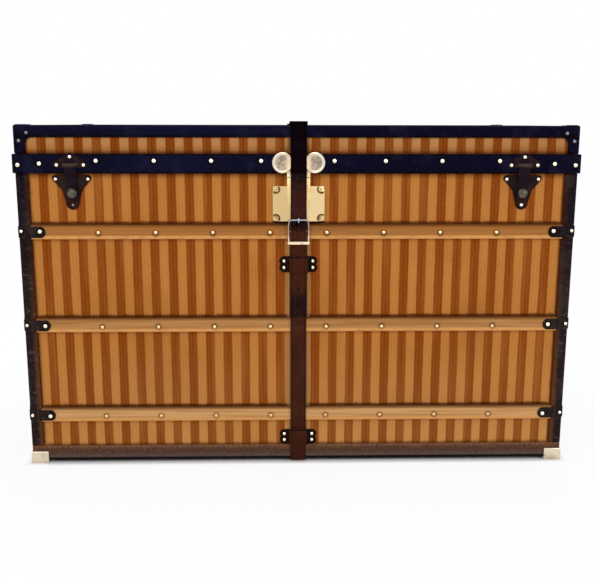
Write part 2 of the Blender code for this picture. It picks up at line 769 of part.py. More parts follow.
def make_lid_bindings():
    """Leather round the lid's top edges and corners, and the padded band round its rim."""
    low = (-BINDING_X, -BINDING_Y, BAND_TOP + GAP)
    binding = box("lid_top_binding", low, (BINDING_X, BINDING_Y, LID_TOP), "band_leather")
    round_edges(binding, BINDING_ROUND)
    for side_x in (-1, 1):
        for side_y in (-1, 1):
            outer = (side_x * (BINDING_X + CORNER_CAP_PROUD), side_y * (BINDING_Y + CORNER_CAP_PROUD))
            inner = (outer[0] - side_x * CORNER_CAP_SIZE, outer[1] - side_y * CORNER_CAP_SIZE)
            top = LID_TOP + CORNER_CAP_PROUD
            cap = box(
                f"lid_corner_cap_{side_x}_{side_y}",
                (min(outer[0], inner[0]), min(outer[1], inner[1]), top - CORNER_CAP_SIZE),
                (max(outer[0], inner[0]), max(outer[1], inner[1]), top),
            )
            join(binding, round_edges(cap, 2 * CORNER_CAP_PROUD, 2))
    pocket_x = CANVAS_X + GAP
    pocket_y = CANVAS_Y + GAP
    pocket_low = (-pocket_x, -pocket_y, 0)
    pocket = box("lid_binding_pocket", pocket_low, (pocket_x, pocket_y, LID_CANVAS_TOP + GAP))
    opening_x = BINDING_X - BINDING_FLANGE
    opening_y = BINDING_Y - BINDING_FLANGE
    opening_low = (-opening_x, -opening_y, 0)
    opening = box("lid_binding_opening", opening_low, (opening_x, opening_y, 2 * LID_TOP))
    window_low = BAND_TOP - LID_WINDOW_RADIUS / 2
    window_high = LID_TOP - LID_BINDING_HEIGHT
    front_x = BINDING_X - LID_WINDOW_INSET
    end_y = BINDING_Y - LID_WINDOW_INSET
    front_window = rounded_rectangle((-front_x, window_low), (front_x, window_high), LID_WINDOW_RADIUS)
    end_window = rounded_rectangle((-end_y, window_low), (end_y, window_high), LID_WINDOW_RADIUS)
    cut(
        binding,
        pocket,
        opening,
        outline("lid_front_window", "front", front_window, -DEPTH, DEPTH),
        outline("lid_end_window", "side", end_window, -WIDTH, WIDTH),
    )
    band = box(
        "lid_rim_band", (-BAND_X, -BAND_Y, LID_BOTTOM), (BAND_X, BAND_Y, BAND_TOP), "band_leather"
    )
    round_edges(band, BAND_EDGE)
    cut(band, box("rim_band_inside", (-pocket_x, -pocket_y, 0), (pocket_x, pocket_y, 2 * BAND_TOP)))
    outer = [(BAND_CLAMP_LENGTH, BAND_PROUD + BAND_CLAMP_PROUD)]
    inner = [(BAND_CLAMP_LENGTH, BAND_PROUD - BAND_EDGE)]
    for side_x in (-1, 1):
        for side_y in (-1, 1):
            plan = corner_path(outer, inner, BINDING_ROUND, side_x, side_y)
            name = f"rim_band_clamp_{side_x}_{side_y}"
            join(band, outline(name, "plan", plan, LID_BOTTOM + GAP, BAND_TOP - GAP))


def make_strap():
    """The strap in three lengths: round the body, over the lid, and the tail in the buckle."""
    ply_end = BUCKLE_Z - STRAP_PLY
    slat_low = SLAT_LEVELS[0] - SLAT_WIDTH / 2
    slat_high = SLAT_LEVELS[-1] + SLAT_WIDTH / 2
    press_z = BOTTOM_BINDING_TOP + KEEPER_HEIGHT + BEND_ROOM
    on_slat = ON_SLAT + STRAP_THICK
    on_binding = ON_BINDING + STRAP_THICK
    on_band = ON_BAND + STRAP_THICK
    bend = BINDING_ROUND + GAP + STRAP_THICK
    under = STRAP_UNDER - STRAP_THICK
    lower = [(-BAR_DEPTH - LOOP_INNER, ply_end)]
    lower += arc(-BAR_DEPTH, BUCKLE_Z, LOOP_INNER, 180, 0, 8)
    lower += [(-on_slat, slat_low), (-on_binding, press_z)]
    lower += arc(-on_binding + bend, under + bend, bend, 180, 270, 4)
    lower += arc(on_binding - bend, under + bend, bend, 270, 360, 4)
    lower += [(on_binding, press_z), (on_slat, slat_low), (on_slat, slat_high)]
    lower.append((on_band, BODY_TOP - STRAP_FOLD))
    section = ribbon(lower, STRAP_THICK)
    strap = outline("strap_lower", "side", section, -STRAP_HALF, STRAP_HALF, "strap_leather")
    slot_low = (-PRONG_SLOT / 2, -DEPTH, BUCKLE_Z - PRONG_SWING_ROOM)
    slot_high = (PRONG_SLOT / 2, -ON_SLAT + STRAP_THICK, BUCKLE_Z + 2 * LOOP_OUTER)
    cut(strap, box("strap_prong_slot", slot_low, slot_high))

    over = LID_TOP + GAP + STRAP_THICK
    on_lobes = TAIL_BACK + STRAP_THICK
    binding_low = LID_TOP - LID_BINDING_HEIGHT - 2 * BEND_ROOM
    lobes_top = PARTING_Z + LOBE_HEIGHT + LOBE_RADIUS
    upper = [(on_band, LID_BOTTOM + STRAP_FOLD), (on_band, BAND_TOP), (on_binding, binding_low)]
    upper += arc(on_binding - bend, over - bend, bend, 0, 90, 4)
    upper += arc(-on_binding + bend, over - bend, bend, 90, 180, 4)
    upper += [(-on_binding, binding_low), (-on_lobes, lobes_top + BEND_ROOM)]
    upper.append((-on_lobes, TAIL_START + TAIL_GAP))
    section = ribbon(upper, STRAP_THICK)
    outline("strap_upper", "side", section, -STRAP_HALF, STRAP_HALF, "strap_leather")

    on_hump = HUMP_BACK + STRAP_THICK
    on_strap = ON_SLAT + STRAP_THICK + GAP + STRAP_THICK
    tail = [
        (-on_lobes, TAIL_START),
        (-on_lobes, BUCKLE_Z + BUCKLE_HALF - BEND_ROOM),
        (-on_hump, BUCKLE_Z + LOOP_OUTER + BEND_ROOM),
        (-on_hump, ply_end - BEND_ROOM),
        (-on_lobes, BUCKLE_Z - BUCKLE_HALF + BUCKLE_FOOT - BUCKLE_WIRE / 2),
        (-on_lobes, BUCKLE_Z - BUCKLE_HALF - BEND_ROOM),
        (-on_strap, BUCKLE_Z - BUCKLE_HALF - 4 * BEND_ROOM),
        (-on_strap, TAIL_TIP),
    ]
    section = ribbon(tail, STRAP_THICK)
    piece = outline("strap_tail", "side", section, -STRAP_HALF, STRAP_HALF, "strap_leather")
    side = STRAP_HALF + GAP
    above = TAIL_START + STRAP_THICK
    shape = [(-side, above), (-side, TAIL_TIP + TAIL_POINT)]
    shape += arc(0, TAIL_TIP + TAIL_ROUND, TAIL_ROUND, 215, 325, 5)
    shape += [(side, TAIL_TIP + TAIL_POINT), (side, above)]
    keep_shared(piece, outline("strap_tail_shape", "front", shape, -DEPTH, 0))
    hole_low = (-PRONG_SLOT / 2, -DEPTH, BUCKLE_Z + LOOP_OUTER)
    hole_high = (PRONG_SLOT / 2, 0, BUCKLE_Z + BUCKLE_HALF - BEND_ROOM - BITE)
    cut(piece, box("strap_tail_hole", hole_low, hole_high))
    return piece


def keeper_shape(shoulder, level):
    """A keeper seen from the front: a bridge, and on each side two lobes, one round each nail."""
    top = level + KEEPER_NAIL_SPREAD
    low = level - KEEPER_NAIL_SPREAD
    waist = math.degrees(math.asin(KEEPER_NAIL_SPREAD / KEEPER_LOBE))
    right = [(shoulder, top + KEEPER_LOBE)]
    right += arc(KEEPER_NAIL_X, top, KEEPER_LOBE, 90, -waist, 6)
    right += arc(KEEPER_NAIL_X, low, KEEPER_LOBE, waist, -90, 6)[1:]
    right.append((shoulder, low - KEEPER_LOBE))
    return right + [(-x, up) for x, up in reversed(right)]


def hat(half, base, inside, foot, wall=KEEPER_THICK, crown=KEEPER_THICK):
    """The section of a keeper: a bridge over the strap, with a nailed foot on each side."""
    outside = inside + crown
    shoulder = half + wall
    right = [(half, base), (half, inside)]
    if foot:
        outer = [
            (shoulder, outside),
            (shoulder, base + KEEPER_THICK),
            (shoulder + foot, base + KEEPER_THICK),
            (shoulder + foot, base),
        ]
    else:
        outer = [(shoulder, outside), (shoulder, base)]
    left_outer = [(-x, up) for x, up in outer]
    left_inner = [(-x, up) for x, up in right]
    return list(reversed(outer)) + left_outer + left_inner + list(reversed(right))


def make_keepers():
    """Leather keepers over the strap: two on the front and one on the lid's front edge."""
    half = STRAP_HALF + STRAP_SIDE_GAP
    base = CANVAS_Y + GAP
    over_tail = ON_SLAT + 2 * (STRAP_THICK + GAP)
    over_strap = ON_BINDING + STRAP_THICK + GAP
    middle = SLAT_LEVELS[-1] - KEEPER_DROP
    lower_foot = BOTTOM_BINDING_TOP + GAP
    levels = {
        "strap_keeper_upper": (over_tail, middle),
        "strap_keeper_lower": (over_strap, lower_foot + KEEPER_HEIGHT / 2),
    }
    shoulder = half + KEEPER_THICK
    foot = KEEPER_NAIL_X + KEEPER_LOBE - shoulder
    for name, (inside, level) in levels.items():
        plan = [(x, -depth) for x, depth in hat(half, base, inside, foot + BITE)]
        low = level - KEEPER_HEIGHT / 2 - BITE
        keeper = outline(name, "plan", plan, low, low + KEEPER_HEIGHT + 2 * BITE, "strap_leather")
        shape = keeper_shape(shoulder, level)
        keep_shared(keeper, outline(name + "_shape", "front", shape, -DEPTH, 0))
    base = LID_TOP + GAP
    half = STRAP_HALF + TOP_KEEPER_SIDE_GAP
    inside = base + STRAP_THICK + GAP
    section = hat(half, base, inside, 0, TOP_KEEPER_SIDE, TOP_KEEPER_CROWN)
    front = -BINDING_Y + BINDING_ROUND
    back = front + TOP_KEEPER_LENGTH
    outline("strap_keeper_top", "front", section, front, back, "strap_leather")


def buckle_depth(z):
    """How far the buckle's arched frame stands in front of the trunk's middle at a height."""
    share = (z - BUCKLE_Z) / BUCKLE_HALF
    return BAR_DEPTH + (OUTER_BAR_DEPTH - BAR_DEPTH) * share * share


def make_buckle():
    """A centre-bar buckle: the strap's loop holds the bar, and the prong turns on it."""
    half = BUCKLE_WIDTH / 2 - BUCKLE_RAIL
    low = BUCKLE_Z - BUCKLE_HALF
    high = BUCKLE_Z + BUCKLE_HALF
    shape = rounded_rectangle((-half, low), (half, high), BUCKLE_CORNER, 3)
    straight = BUCKLE_HALF - BUCKLE_CORNER
    left_rail = [(-half, BUCKLE_Z + straight * share) for share in (0.6, 0.2, -0.2, -0.6)]
    right_rail = [(half, BUCKLE_Z + straight * share) for share in (-0.6, -0.2, 0.2, 0.6)]
    quarter = len(shape) // 4
    shape = shape[:2 * quarter] + left_rail + shape[2 * quarter:] + right_rail
    path = [(x, -buckle_depth(z), z) for x, z in shape]
    thick = BUCKLE_RAIL / BUCKLE_WIRE
    swell = [thick if abs(z - BUCKLE_Z) < straight else 1.0 for x, z in shape]
    frame = rod("buckle_frame", path, BUCKLE_WIRE, "brass", swell=swell, closed=True)
    centre = (0, -BAR_DEPTH, BUCKLE_Z)
    join(frame, cylinder("buckle_bar", centre, BUCKLE_WIRE, 2 * half, "X", steps=12))
    bottom = low - BUCKLE_WIRE
    foot_half = BUCKLE_WIDTH / 2
    shape = rounded_rectangle(
        (-foot_half, bottom), (foot_half, bottom + BUCKLE_FOOT), BUCKLE_FOOT_ROUND
    )
    front = -OUTER_BAR_DEPTH - BUCKLE_WIRE
    foot = outline("buckle_foot", "front", shape, front, front + 2 * BUCKLE_WIRE)
    join(frame, round_edges(foot, BUCKLE_WIRE / 2))

    prong = cylinder("buckle_prong", centre, PRONG_EYE, PRONG_EYE_WIDTH, "X", "brass", steps=16)
    bore = BUCKLE_WIRE + GAP
    ring = (PRONG_EYE + bore) / 2
    root_depth, root_z = arc(BAR_DEPTH, BUCKLE_Z, ring, 45, 45, 1)[0]
    root = (0, -root_depth, root_z)
    rest_depth = OUTER_BAR_DEPTH + BUCKLE_WIRE + GAP + PRONG_WIRE
    shoulder = (0, -rest_depth, BUCKLE_Z + BUCKLE_HALF - PRONG_SHOULDER)
    tip = (0, -rest_depth, BUCKLE_Z + BUCKLE_HALF + PRONG_OVERHANG)
    join(prong, rod("buckle_prong_rod", [root, shoulder, tip], PRONG_WIRE))
    cut(prong, cylinder("buckle_prong_bore", centre, bore, 2 * PRONG_EYE_WIDTH, "X", steps=12))
    pivot("buckle_prong_axis", centre, prong)


def make_lock():
    """The lock's case with its sliding bolt, and the hasp that hangs from the rim band."""
    back = CANVAS_Y + GAP
    low = LOCK_TOP - LOCK_HEIGHT
    shape = rounded_rectangle((-LOCK_WIDTH / 2, low), (LOCK_WIDTH / 2, LOCK_TOP), LOCK_CORNER)
    case = outline("lock_case", "front", shape, -LOCK_FRONT, -back, "brass")
    round_edges(case, LOCK_EDGE_ROUND)
    notch_low = (-LOCK_NOTCH_WIDTH / 2, -DEPTH, LOCK_TOP - LOCK_NOTCH_DEPTH)
    notch_high = (LOCK_NOTCH_WIDTH / 2, -back - LOCK_BACK_PLATE, PARTING_Z)
    channel_half = BOLT_HEIGHT / 2 + GAP
    channel_thick = BOLT_THICK / 2 + GAP
    bolt_right = -LOCK_NOTCH_WIDTH / 2 - BOLT_REST
    bolt_left = bolt_right - BOLT_LENGTH
    channel_right = bolt_right + BOLT_TRAVEL + BOLT_ROOM
    channel_low = (bolt_left - BOLT_ROOM, -BOLT_DEPTH - channel_thick, BOLT_Z - channel_half)
    channel_high = (channel_right, -BOLT_DEPTH + channel_thick, BOLT_Z + channel_half)
    cut(case, box("lock_notch", notch_low, notch_high), box("lock_channel", channel_low, channel_high))
    ear_back = back + LOCK_EAR_THICK
    for side in (-1, 1):
        for ear_z in (low + LOCK_EAR_INSET, LOCK_TOP - LOCK_EAR_INSET):
            ear_x = side * (LOCK_WIDTH / 2 - LOCK_EAR_INSET)
            centre = (ear_x, -ear_back - LOCK_THICK, ear_z)
            name = f"lock_ear_{side}_{ear_z:.3f}"
            cut(case, cylinder(name, centre, LOCK_EAR_RADIUS, 2 * LOCK_THICK, "Y"))
    bolt = box(
        "lock_bolt",
        (bolt_left, -BOLT_DEPTH - BOLT_THICK / 2, BOLT_Z - BOLT_HEIGHT / 2),
        (bolt_right, -BOLT_DEPTH + BOLT_THICK / 2, BOLT_Z + BOLT_HEIGHT / 2),
        "steel",
    )
    pivot("lock_bolt_axis", (bolt_right, -BOLT_DEPTH, BOLT_Z), bolt)

    axis = (0, -LOCK_AXIS_DEPTH, LOCK_AXIS_Z)
    knuckle = HASP_KNUCKLE / 2
    clear = LOCK_BARREL + 2 * GAP
    half = HASP_WIDTH / 2
    end = LOCK_AXIS_Z - HASP_LENGTH
    shape = arc(-half + HASP_CORNER, end + HASP_CORNER, HASP_CORNER, 180, 270, 4)
    shape += arc(half - HASP_CORNER, end + HASP_CORNER, HASP_CORNER, 270, 360, 4)
    neck = knuckle - GAP
    neck_top = LOCK_AXIS_Z - AXIS_BITE
    shoulder = LOCK_AXIS_Z - clear
    shape += [(half, shoulder), (neck, shoulder), (neck, neck_top)]
    shape += [(-neck, neck_top), (-neck, shoulder), (-half, shoulder)]
    hasp = outline("lock_hasp", "front", shape, -HASP_BACK - HASP_THICK, -HASP_BACK, "brass")
    staple_low = (-STAPLE_WIDTH / 2, -HASP_BACK - BITE, BOLT_Z - STAPLE_HEIGHT / 2)
    staple_high = (STAPLE_WIDTH / 2, -back - LOCK_BACK_PLATE - GAP, BOLT_Z + STAPLE_HEIGHT / 2)
    join(hasp, cylinder("hasp_knuckle", axis, LOCK_BARREL, HASP_KNUCKLE, "X", steps=16))
    join(hasp, box("hasp_staple", staple_low, staple_high))
    eye_low = (-STAPLE_WIDTH, -BOLT_DEPTH - channel_thick, BOLT_Z - channel_half)
    eye_high = (STAPLE_WIDTH, -BOLT_DEPTH + channel_thick, BOLT_Z + channel_half)
    cut(hasp, box("hasp_staple_eye", eye_low, eye_high))
    cut(hasp, cylinder("hasp_bore", axis, PIN_RADIUS + GAP, LOCK_WIDTH, "X", steps=16))
    pivot("lock_hasp_axis", axis, hasp)
    make_hasp_leaf(axis, clear)


def make_hasp_leaf(axis, clear):
    """The leaf on the rim band that carries the hasp, with its two round dished lobes."""
    half = LOCK_BARREL_LENGTH / 2
    gap_half = HASP_KNUCKLE / 2 + GAP
    bottom = LOCK_AXIS_Z + 2 * AXIS_BITE
    top = BAND_TOP - BAND_EDGE
    shape = [(-half, bottom), (-gap_half, bottom), (-gap_half, LOCK_AXIS_Z + clear)]
    shape += [(gap_half, LOCK_AXIS_Z + clear), (gap_half, bottom), (half, bottom)]
    shape += [(half, top), (-half, top)]
    leaf = outline("lock_hinge_leaf", "front", shape, -ON_BAND - LEAF_THICK, -ON_BAND, "pale_brass")
    dish_radius = LOBE_RADIUS - LOBE_RIM
    profile = [
        (0.0, LOBE_PROUD - LOBE_DISH),
        (dish_radius, LOBE_PROUD - LOBE_DISH),
        (dish_radius + LOBE_DISH, LOBE_PROUD),
        (LOBE_RADIUS - LOBE_EDGE, LOBE_PROUD),
        (LOBE_RADIUS, LOBE_PROUD - LOBE_EDGE),
        (LOBE_RADIUS, 0.0),
        (0.0, 0.0),
    ]
    facing = Matrix.Rotation(math.radians(90), 3, "X")
    for side in (-1, 1):
        centre = (side * LOBE_OFFSET, -ON_BAND, PARTING_Z + LOBE_HEIGHT)
        join(leaf, turned(f"hinge_lobe_{side}", profile, centre, facing, steps=32))
        knuckle_length = half - gap_half
        place = (side * (gap_half + knuckle_length / 2), axis[1], axis[2])
        name = f"hinge_leaf_knuckle_{side}"
        join(leaf, cylinder(name, place, LOCK_BARREL, knuckle_length, "X", steps=16))
    join(leaf, cylinder("hinge_leaf_pin", axis, PIN_RADIUS, 2 * half - 2 * BITE, "X", steps=12))


def make_side_clasp(name, centre):
    """A side clasp: a plate on the rim band, a cranked hasp, and a plate with a stud below."""
    axis = (centre, -CLASP_AXIS_DEPTH, CLASP_AXIS_Z)
    half = CLASP_LID_HALF
    level = PARTING_Z + CLASP_LID_NAIL
    peak = PARTING_Z + CLASP_LID_PEAK
    shape = arc(centre + half, level, CLASP_LOBE, -90, 55, 6)
    shape += arc(centre, peak, CLASP_LOBE, 35, 145, 6)
    shape += arc(centre - half, level, CLASP_LOBE, 125, 270, 6)
    front = -ON_BAND - LEAF_THICK
    plate = outline(f"{name}_clasp_lid_plate", "front", shape, front, -ON_BAND, "dark_iron")
    knuckle = CLASP_KNUCKLE / 2
    outer = CLASP_BARREL_LENGTH / 2
    for side in (-1, 1):
        length = outer - knuckle - GAP
        middle = centre + side * (outer - length / 2)
        place = (middle, axis[1], axis[2])
        join(plate, cylinder(f"{name}_plate_knuckle_{side}", place, CLASP_BARREL, length, "X", steps=16))
        saddle_low = (middle - length / 2 + GAP, axis[1] + AXIS_BITE, axis[2] - CLASP_SADDLE)
        saddle_high = (middle + length / 2 - GAP, -ON_BAND - BITE, axis[2] + CLASP_SADDLE)
        join(plate, box(f"{name}_plate_saddle_{side}", saddle_low, saddle_high))
    pin_length = 2 * outer - 2 * BITE
    join(plate, cylinder(f"{name}_plate_pin", axis, PIN_RADIUS, pin_length, "X", steps=12))

    outer_depth = CLASP_AXIS_DEPTH + HASP_THICK / 2
    end = CLASP_AXIS_Z - CLASP_TONGUE_LENGTH
    side_path = [
        (-outer_depth, CLASP_AXIS_Z - AXIS_BITE),
        (-outer_depth, PARTING_Z),
        (-outer_depth + CLASP_TONGUE_CRANK, PARTING_Z - CLASP_CRANK_DROP),
        (-outer_depth + CLASP_TONGUE_CRANK, end - CLASP_SLOT),
    ]
    reach = CLASP_TONGUE_TOP
    section = ribbon(side_path, HASP_THICK)
    tongue = outline(f"{name}_clasp_hasp", "side", section, centre - reach, centre + reach, "dark_iron")
    wide = CLASP_TONGUE_TOP / 2
    tip = CLASP_TONGUE_TIP / 2
    neck = knuckle - GAP
    shoulder = CLASP_AXIS_Z - CLASP_BARREL - 2 * GAP
    flare = shoulder - CLASP_SHOULDER
    above = CLASP_AXIS_Z + CLASP_BARREL
    face = arc(centre, end + tip, tip, 180, 360, 8)
    face += [(centre + wide, flare), (centre + wide, shoulder), (centre + neck, shoulder)]
    face += [(centre + neck, above), (centre - neck, above)]
    face += [(centre - neck, shoulder), (centre - wide, shoulder), (centre - wide, flare)]
    keep_shared(tongue, outline(f"{name}_tongue_face", "front", face, -DEPTH, 0))
    join(tongue, cylinder(f"{name}_tongue_knuckle", axis, CLASP_BARREL, CLASP_KNUCKLE, "X", steps=16))
    slot_top = end + CLASP_SLOT_DEPTH - CLASP_SLOT / 2
    slot = arc(centre, slot_top, CLASP_SLOT / 2, 0, 180, 6)
    below = end - CLASP_SLOT
    slot += [(centre - CLASP_SLOT / 2, below), (centre + CLASP_SLOT / 2, below)]
    cut(tongue, outline(f"{name}_tongue_slot", "front", slot, -DEPTH, 0))
    bore = cylinder(f"{name}_tongue_bore", axis, PIN_RADIUS + GAP, 2 * outer, "X", steps=16)
    cut(tongue, bore)
    pivot(f"{name}_clasp_axis", axis, tongue)

    nail = PARTING_Z - CLASP_BODY_NAIL
    foot = PARTING_Z - CLASP_PLATE_DROP
    waist = (nail + foot) / 2
    shape = arc(centre + CLASP_PLATE_HALF, nail, CLASP_LOBE, 80, -65, 6)
    shape += [(centre + CLASP_WAIST, waist)]
    shape += arc(centre, foot, CLASP_FOOT, 0, -180, 8)
    shape += [(centre - CLASP_WAIST, waist)]
    shape += arc(centre - CLASP_PLATE_HALF, nail, CLASP_LOBE, 245, 100, 6)
    back = CANVAS_Y + GAP
    name_of_plate = f"{name}_clasp_body_plate"
    plate = outline(name_of_plate, "front", shape, -back - LEAF_THICK, -back, "dark_iron")
    stud_back = back + LEAF_THICK / 2
    stud_front = outer_depth - CLASP_TONGUE_CRANK + CLASP_STUD_PROUD
    stud_centre = (centre, -(stud_back + stud_front) / 2, slot_top)
    stud_radius = CLASP_SLOT / 2 - GAP
    stud_length = stud_front - stud_back
    join(plate, cylinder(f"{name}_stud", stud_centre, stud_radius, stud_length, "Y", steps=16))


def make_handle(name, side):
    """An end handle: a bail with a stitched grip, hung in two ears on a plate."""
    axis_x = CANVAS_X + HANDLE_AXIS_PROUD
    near = side * (CANVAS_X + GAP)
    far = side * (CANVAS_X + GAP + HANDLE_PLATE)
    half = HANDLE_PLATE_LENGTH / 2
    low_z = HANDLE_Z - HANDLE_PLATE_HEIGHT / 2
    high_z = low_z + HANDLE_PLATE_HEIGHT
    shape = rounded_rectangle((-half, low_z), (half, high_z), HANDLE_PLATE_CORNER)
    low, high = sorted((near, far))
    plate = outline(f"{name}_handle_mount", "side", shape, low, high, "dark_iron")
    ears = []
    bores = []
    for end in (-1, 1):
        y = end * HANDLE_SPAN / 2
        centre = (side * axis_x, y, HANDLE_Z)
        label = f"{name}_ear_{end}"
        ears.append(cylinder(label, centre, HANDLE_EAR_RADIUS, HANDLE_EAR_THICK, "Y", steps=20))
        foot_low, foot_high = sorted((side * (CANVAS_X + GAP + HANDLE_PLATE / 2), side * axis_x))
        thick = HANDLE_EAR_THICK / 2 - GAP
        rise = HANDLE_EAR_RADIUS - BITE
        low = (foot_low, y - thick, HANDLE_Z - rise)
        high = (foot_high, y + thick, HANDLE_Z + rise)
        ears.append(box(label + "_foot", low, high))
        bore = HANDLE_ROD + GAP
        bores.append(cylinder(label + "_bore", centre, bore, 2 * HANDLE_EAR_THICK, "Y", steps=16))
    join(plate, *ears)
    cut(plate, *bores)

    outside = HANDLE_SPAN / 2 + HANDLE_EAR_THICK / 2 + 2 * GAP
    inside = HANDLE_SPAN / 2 - HANDLE_EAR_THICK / 2 - 2 * GAP
    arm = inside - HANDLE_BEND
    grip_end = arm - HANDLE_BEND
    knee = arc(inside, -HANDLE_BEND, HANDLE_BEND, 90, 180, 4)
    heel = arc(grip_end, -HANDLE_DROP + HANDLE_BEND, HANDLE_BEND, 0, -90, 4)
    grip = HANDLE_GRIP / HANDLE_ROD
    half_path = [
        (outside + HANDLE_KNOB, 0.0, HANDLE_KNOB_SWELL),
        (outside, 0.0, HANDLE_KNOB_SWELL),
        (outside - GAP, 0.0, 1.0),
    ]
    half_path += [(y, z, 1.0) for y, z in knee + heel]
    half_path += [(grip_end - HANDLE_KNOB, -HANDLE_DROP, (1 + grip) / 2), (arm / 2, -HANDLE_DROP, grip)]
    full = half_path + [(-y, z, swell) for y, z, swell in reversed(half_path)]
    path = [(side * axis_x, y, HANDLE_Z + z) for y, z, swell in full]
    swell = [swell for y, z, swell in full]
    bail = rod(f"{name}_handle_grip", path, HANDLE_ROD, "binding_leather", swell=swell)
    pivot(f"{name}_handle_axis", (side * axis_x, 0, HANDLE_Z), bail)


def make_back_hinge(name, centre):
    """A stop hinge: the lid leaf's lug meets the body leaf's tab when the lid is fully open."""
    axis = (centre, HINGE_AXIS_Y, PARTING_Z)
    half = HINGE_WIDTH / 2
    knuckle = HINGE_KNUCKLE / 2
    back = CANVAS_Y + GAP
    plate_top = PARTING_Z - HINGE_BODY_DROP
    body_leaf = box(
        f"{name}_hinge_body_leaf",
        (centre - half, back, plate_top - HINGE_BODY_LEAF),
        (centre + half, back + HINGE_PLATE, plate_top),
        "dark_iron",
    )
    web = [
        (back + BITE, plate_top - HINGE_WEB_FOOT),
        (HINGE_AXIS_Y - BITE, PARTING_Z - HINGE_BARREL + 2 * BITE),
        (HINGE_AXIS_Y - 2 * BITE, PARTING_Z + BITE),
        (back + BITE, plate_top - 2 * BITE),
    ]
    for side in (-1, 1):
        length = half - knuckle
        middle = centre + side * (half - length / 2)
        label = f"{name}_hinge_body_{side}"
        edge = length / 2 - GAP
        join(body_leaf, outline(label + "_web", "side", web, middle - edge, middle + edge))
        place = (middle, HINGE_AXIS_Y, PARTING_Z)
        join(body_leaf, cylinder(label + "_barrel", place, HINGE_BARREL, length, "X", steps=20))
    join(body_leaf, cylinder(f"{name}_hinge_pin", axis, HINGE_PIN, HINGE_WIDTH - 2 * BITE, "X", steps=16))
    tab_edge = HINGE_AXIS_Y - HINGE_STOP_THICK / 2 - GAP
    tab_half = knuckle - 2 * GAP
    tab_low = (centre - tab_half, back + BITE, PARTING_Z - HINGE_STOP_RADIUS + GAP)
    tab_high = (centre + tab_half, tab_edge, PARTING_Z - HINGE_BARREL - HINGE_STOP_CLEARANCE)
    join(body_leaf, box(f"{name}_hinge_stop_tab", tab_low, tab_high))

    low_z = PARTING_Z + HINGE_LID_RISE
    lid_leaf = box(
        f"{name}_hinge_lid_leaf",
        (centre - half, ON_BAND, low_z),
        (centre + half, ON_BAND + HINGE_PLATE, low_z + HINGE_LID_LEAF),
        "dark_iron",
    )
    inner = knuckle - GAP
    web = [
        (ON_BAND + BITE, low_z - 2 * BITE),
        (HINGE_AXIS_Y - BITE, PARTING_Z - BITE),
        (HINGE_AXIS_Y + 2 * BITE, PARTING_Z + 2 * BITE),
        (ON_BAND + BITE, low_z + HINGE_WEB_FOOT),
    ]
    edge = inner - GAP
    join(lid_leaf, outline(f"{name}_hinge_lid_web", "side", web, centre - edge, centre + edge))
    barrel = cylinder(f"{name}_hinge_lid_barrel", axis, HINGE_BARREL, 2 * inner, "X", steps=20)
    join(lid_leaf, barrel)
    turn = math.radians(270.0 - HINGE_STOP_ANGLE)
    along = Vector((-math.cos(turn), math.sin(turn)))
    across = Vector((-along.y, along.x)) * HINGE_STOP_THICK / 2
    middle = Vector((HINGE_AXIS_Y, PARTING_Z))
    inside = HINGE_BARREL - 2 * BITE
    lug = [
        tuple(middle + along * inside + across),
        tuple(middle + along * HINGE_STOP_RADIUS + across),
        tuple(middle + along * HINGE_STOP_RADIUS - across),
        tuple(middle + along * inside - across),
    ]
    join(lid_leaf, outline(f"{name}_hinge_lug", "side", lug, centre - tab_half, centre + tab_half))
    cut(lid_leaf, cylinder(f"{name}_hinge_bore", axis, HINGE_PIN + GAP, 2 * half, "X", steps=16))


def main():
    make_body_boards()
    make_lid_boards()
    make_canvas()
    make_corner_bindings()
    make_bottom_binding()
    make_slats()
    make_runners_and_shoes()
    make_lid_bindings()
    tail = make_strap()
    make_keepers()
    make_buckle()
    make_lock()
    for name, side in (("left", -1), ("right", 1)):
        make_side_clasp(name, side * (HALF_WIDTH - CLASP_INSET))
        make_handle(name, side)
        make_back_hinge(name, side * (HALF_WIDTH - HINGE_INSET))
    pivot("strap_tail_axis", (0, -TAIL_BACK - STRAP_THICK / 2, TAIL_START), tail)
    carried_by_lid = [
        piece
        for piece in parts.objects
        if piece.parent is None and piece.name.startswith(LID_PIECES)
    ]
    pivot("lid_axis", (0, HINGE_AXIS_Y, PARTING_Z), *carried_by_lid)


main()
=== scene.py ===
"""Looks of the flat-topped travelling trunk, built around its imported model.

Metres, +Z up, origin on the floor under the middle of the trunk, the lock's face towards -Y."""

import json
import math

import bpy
from mathutils import Matrix, Vector

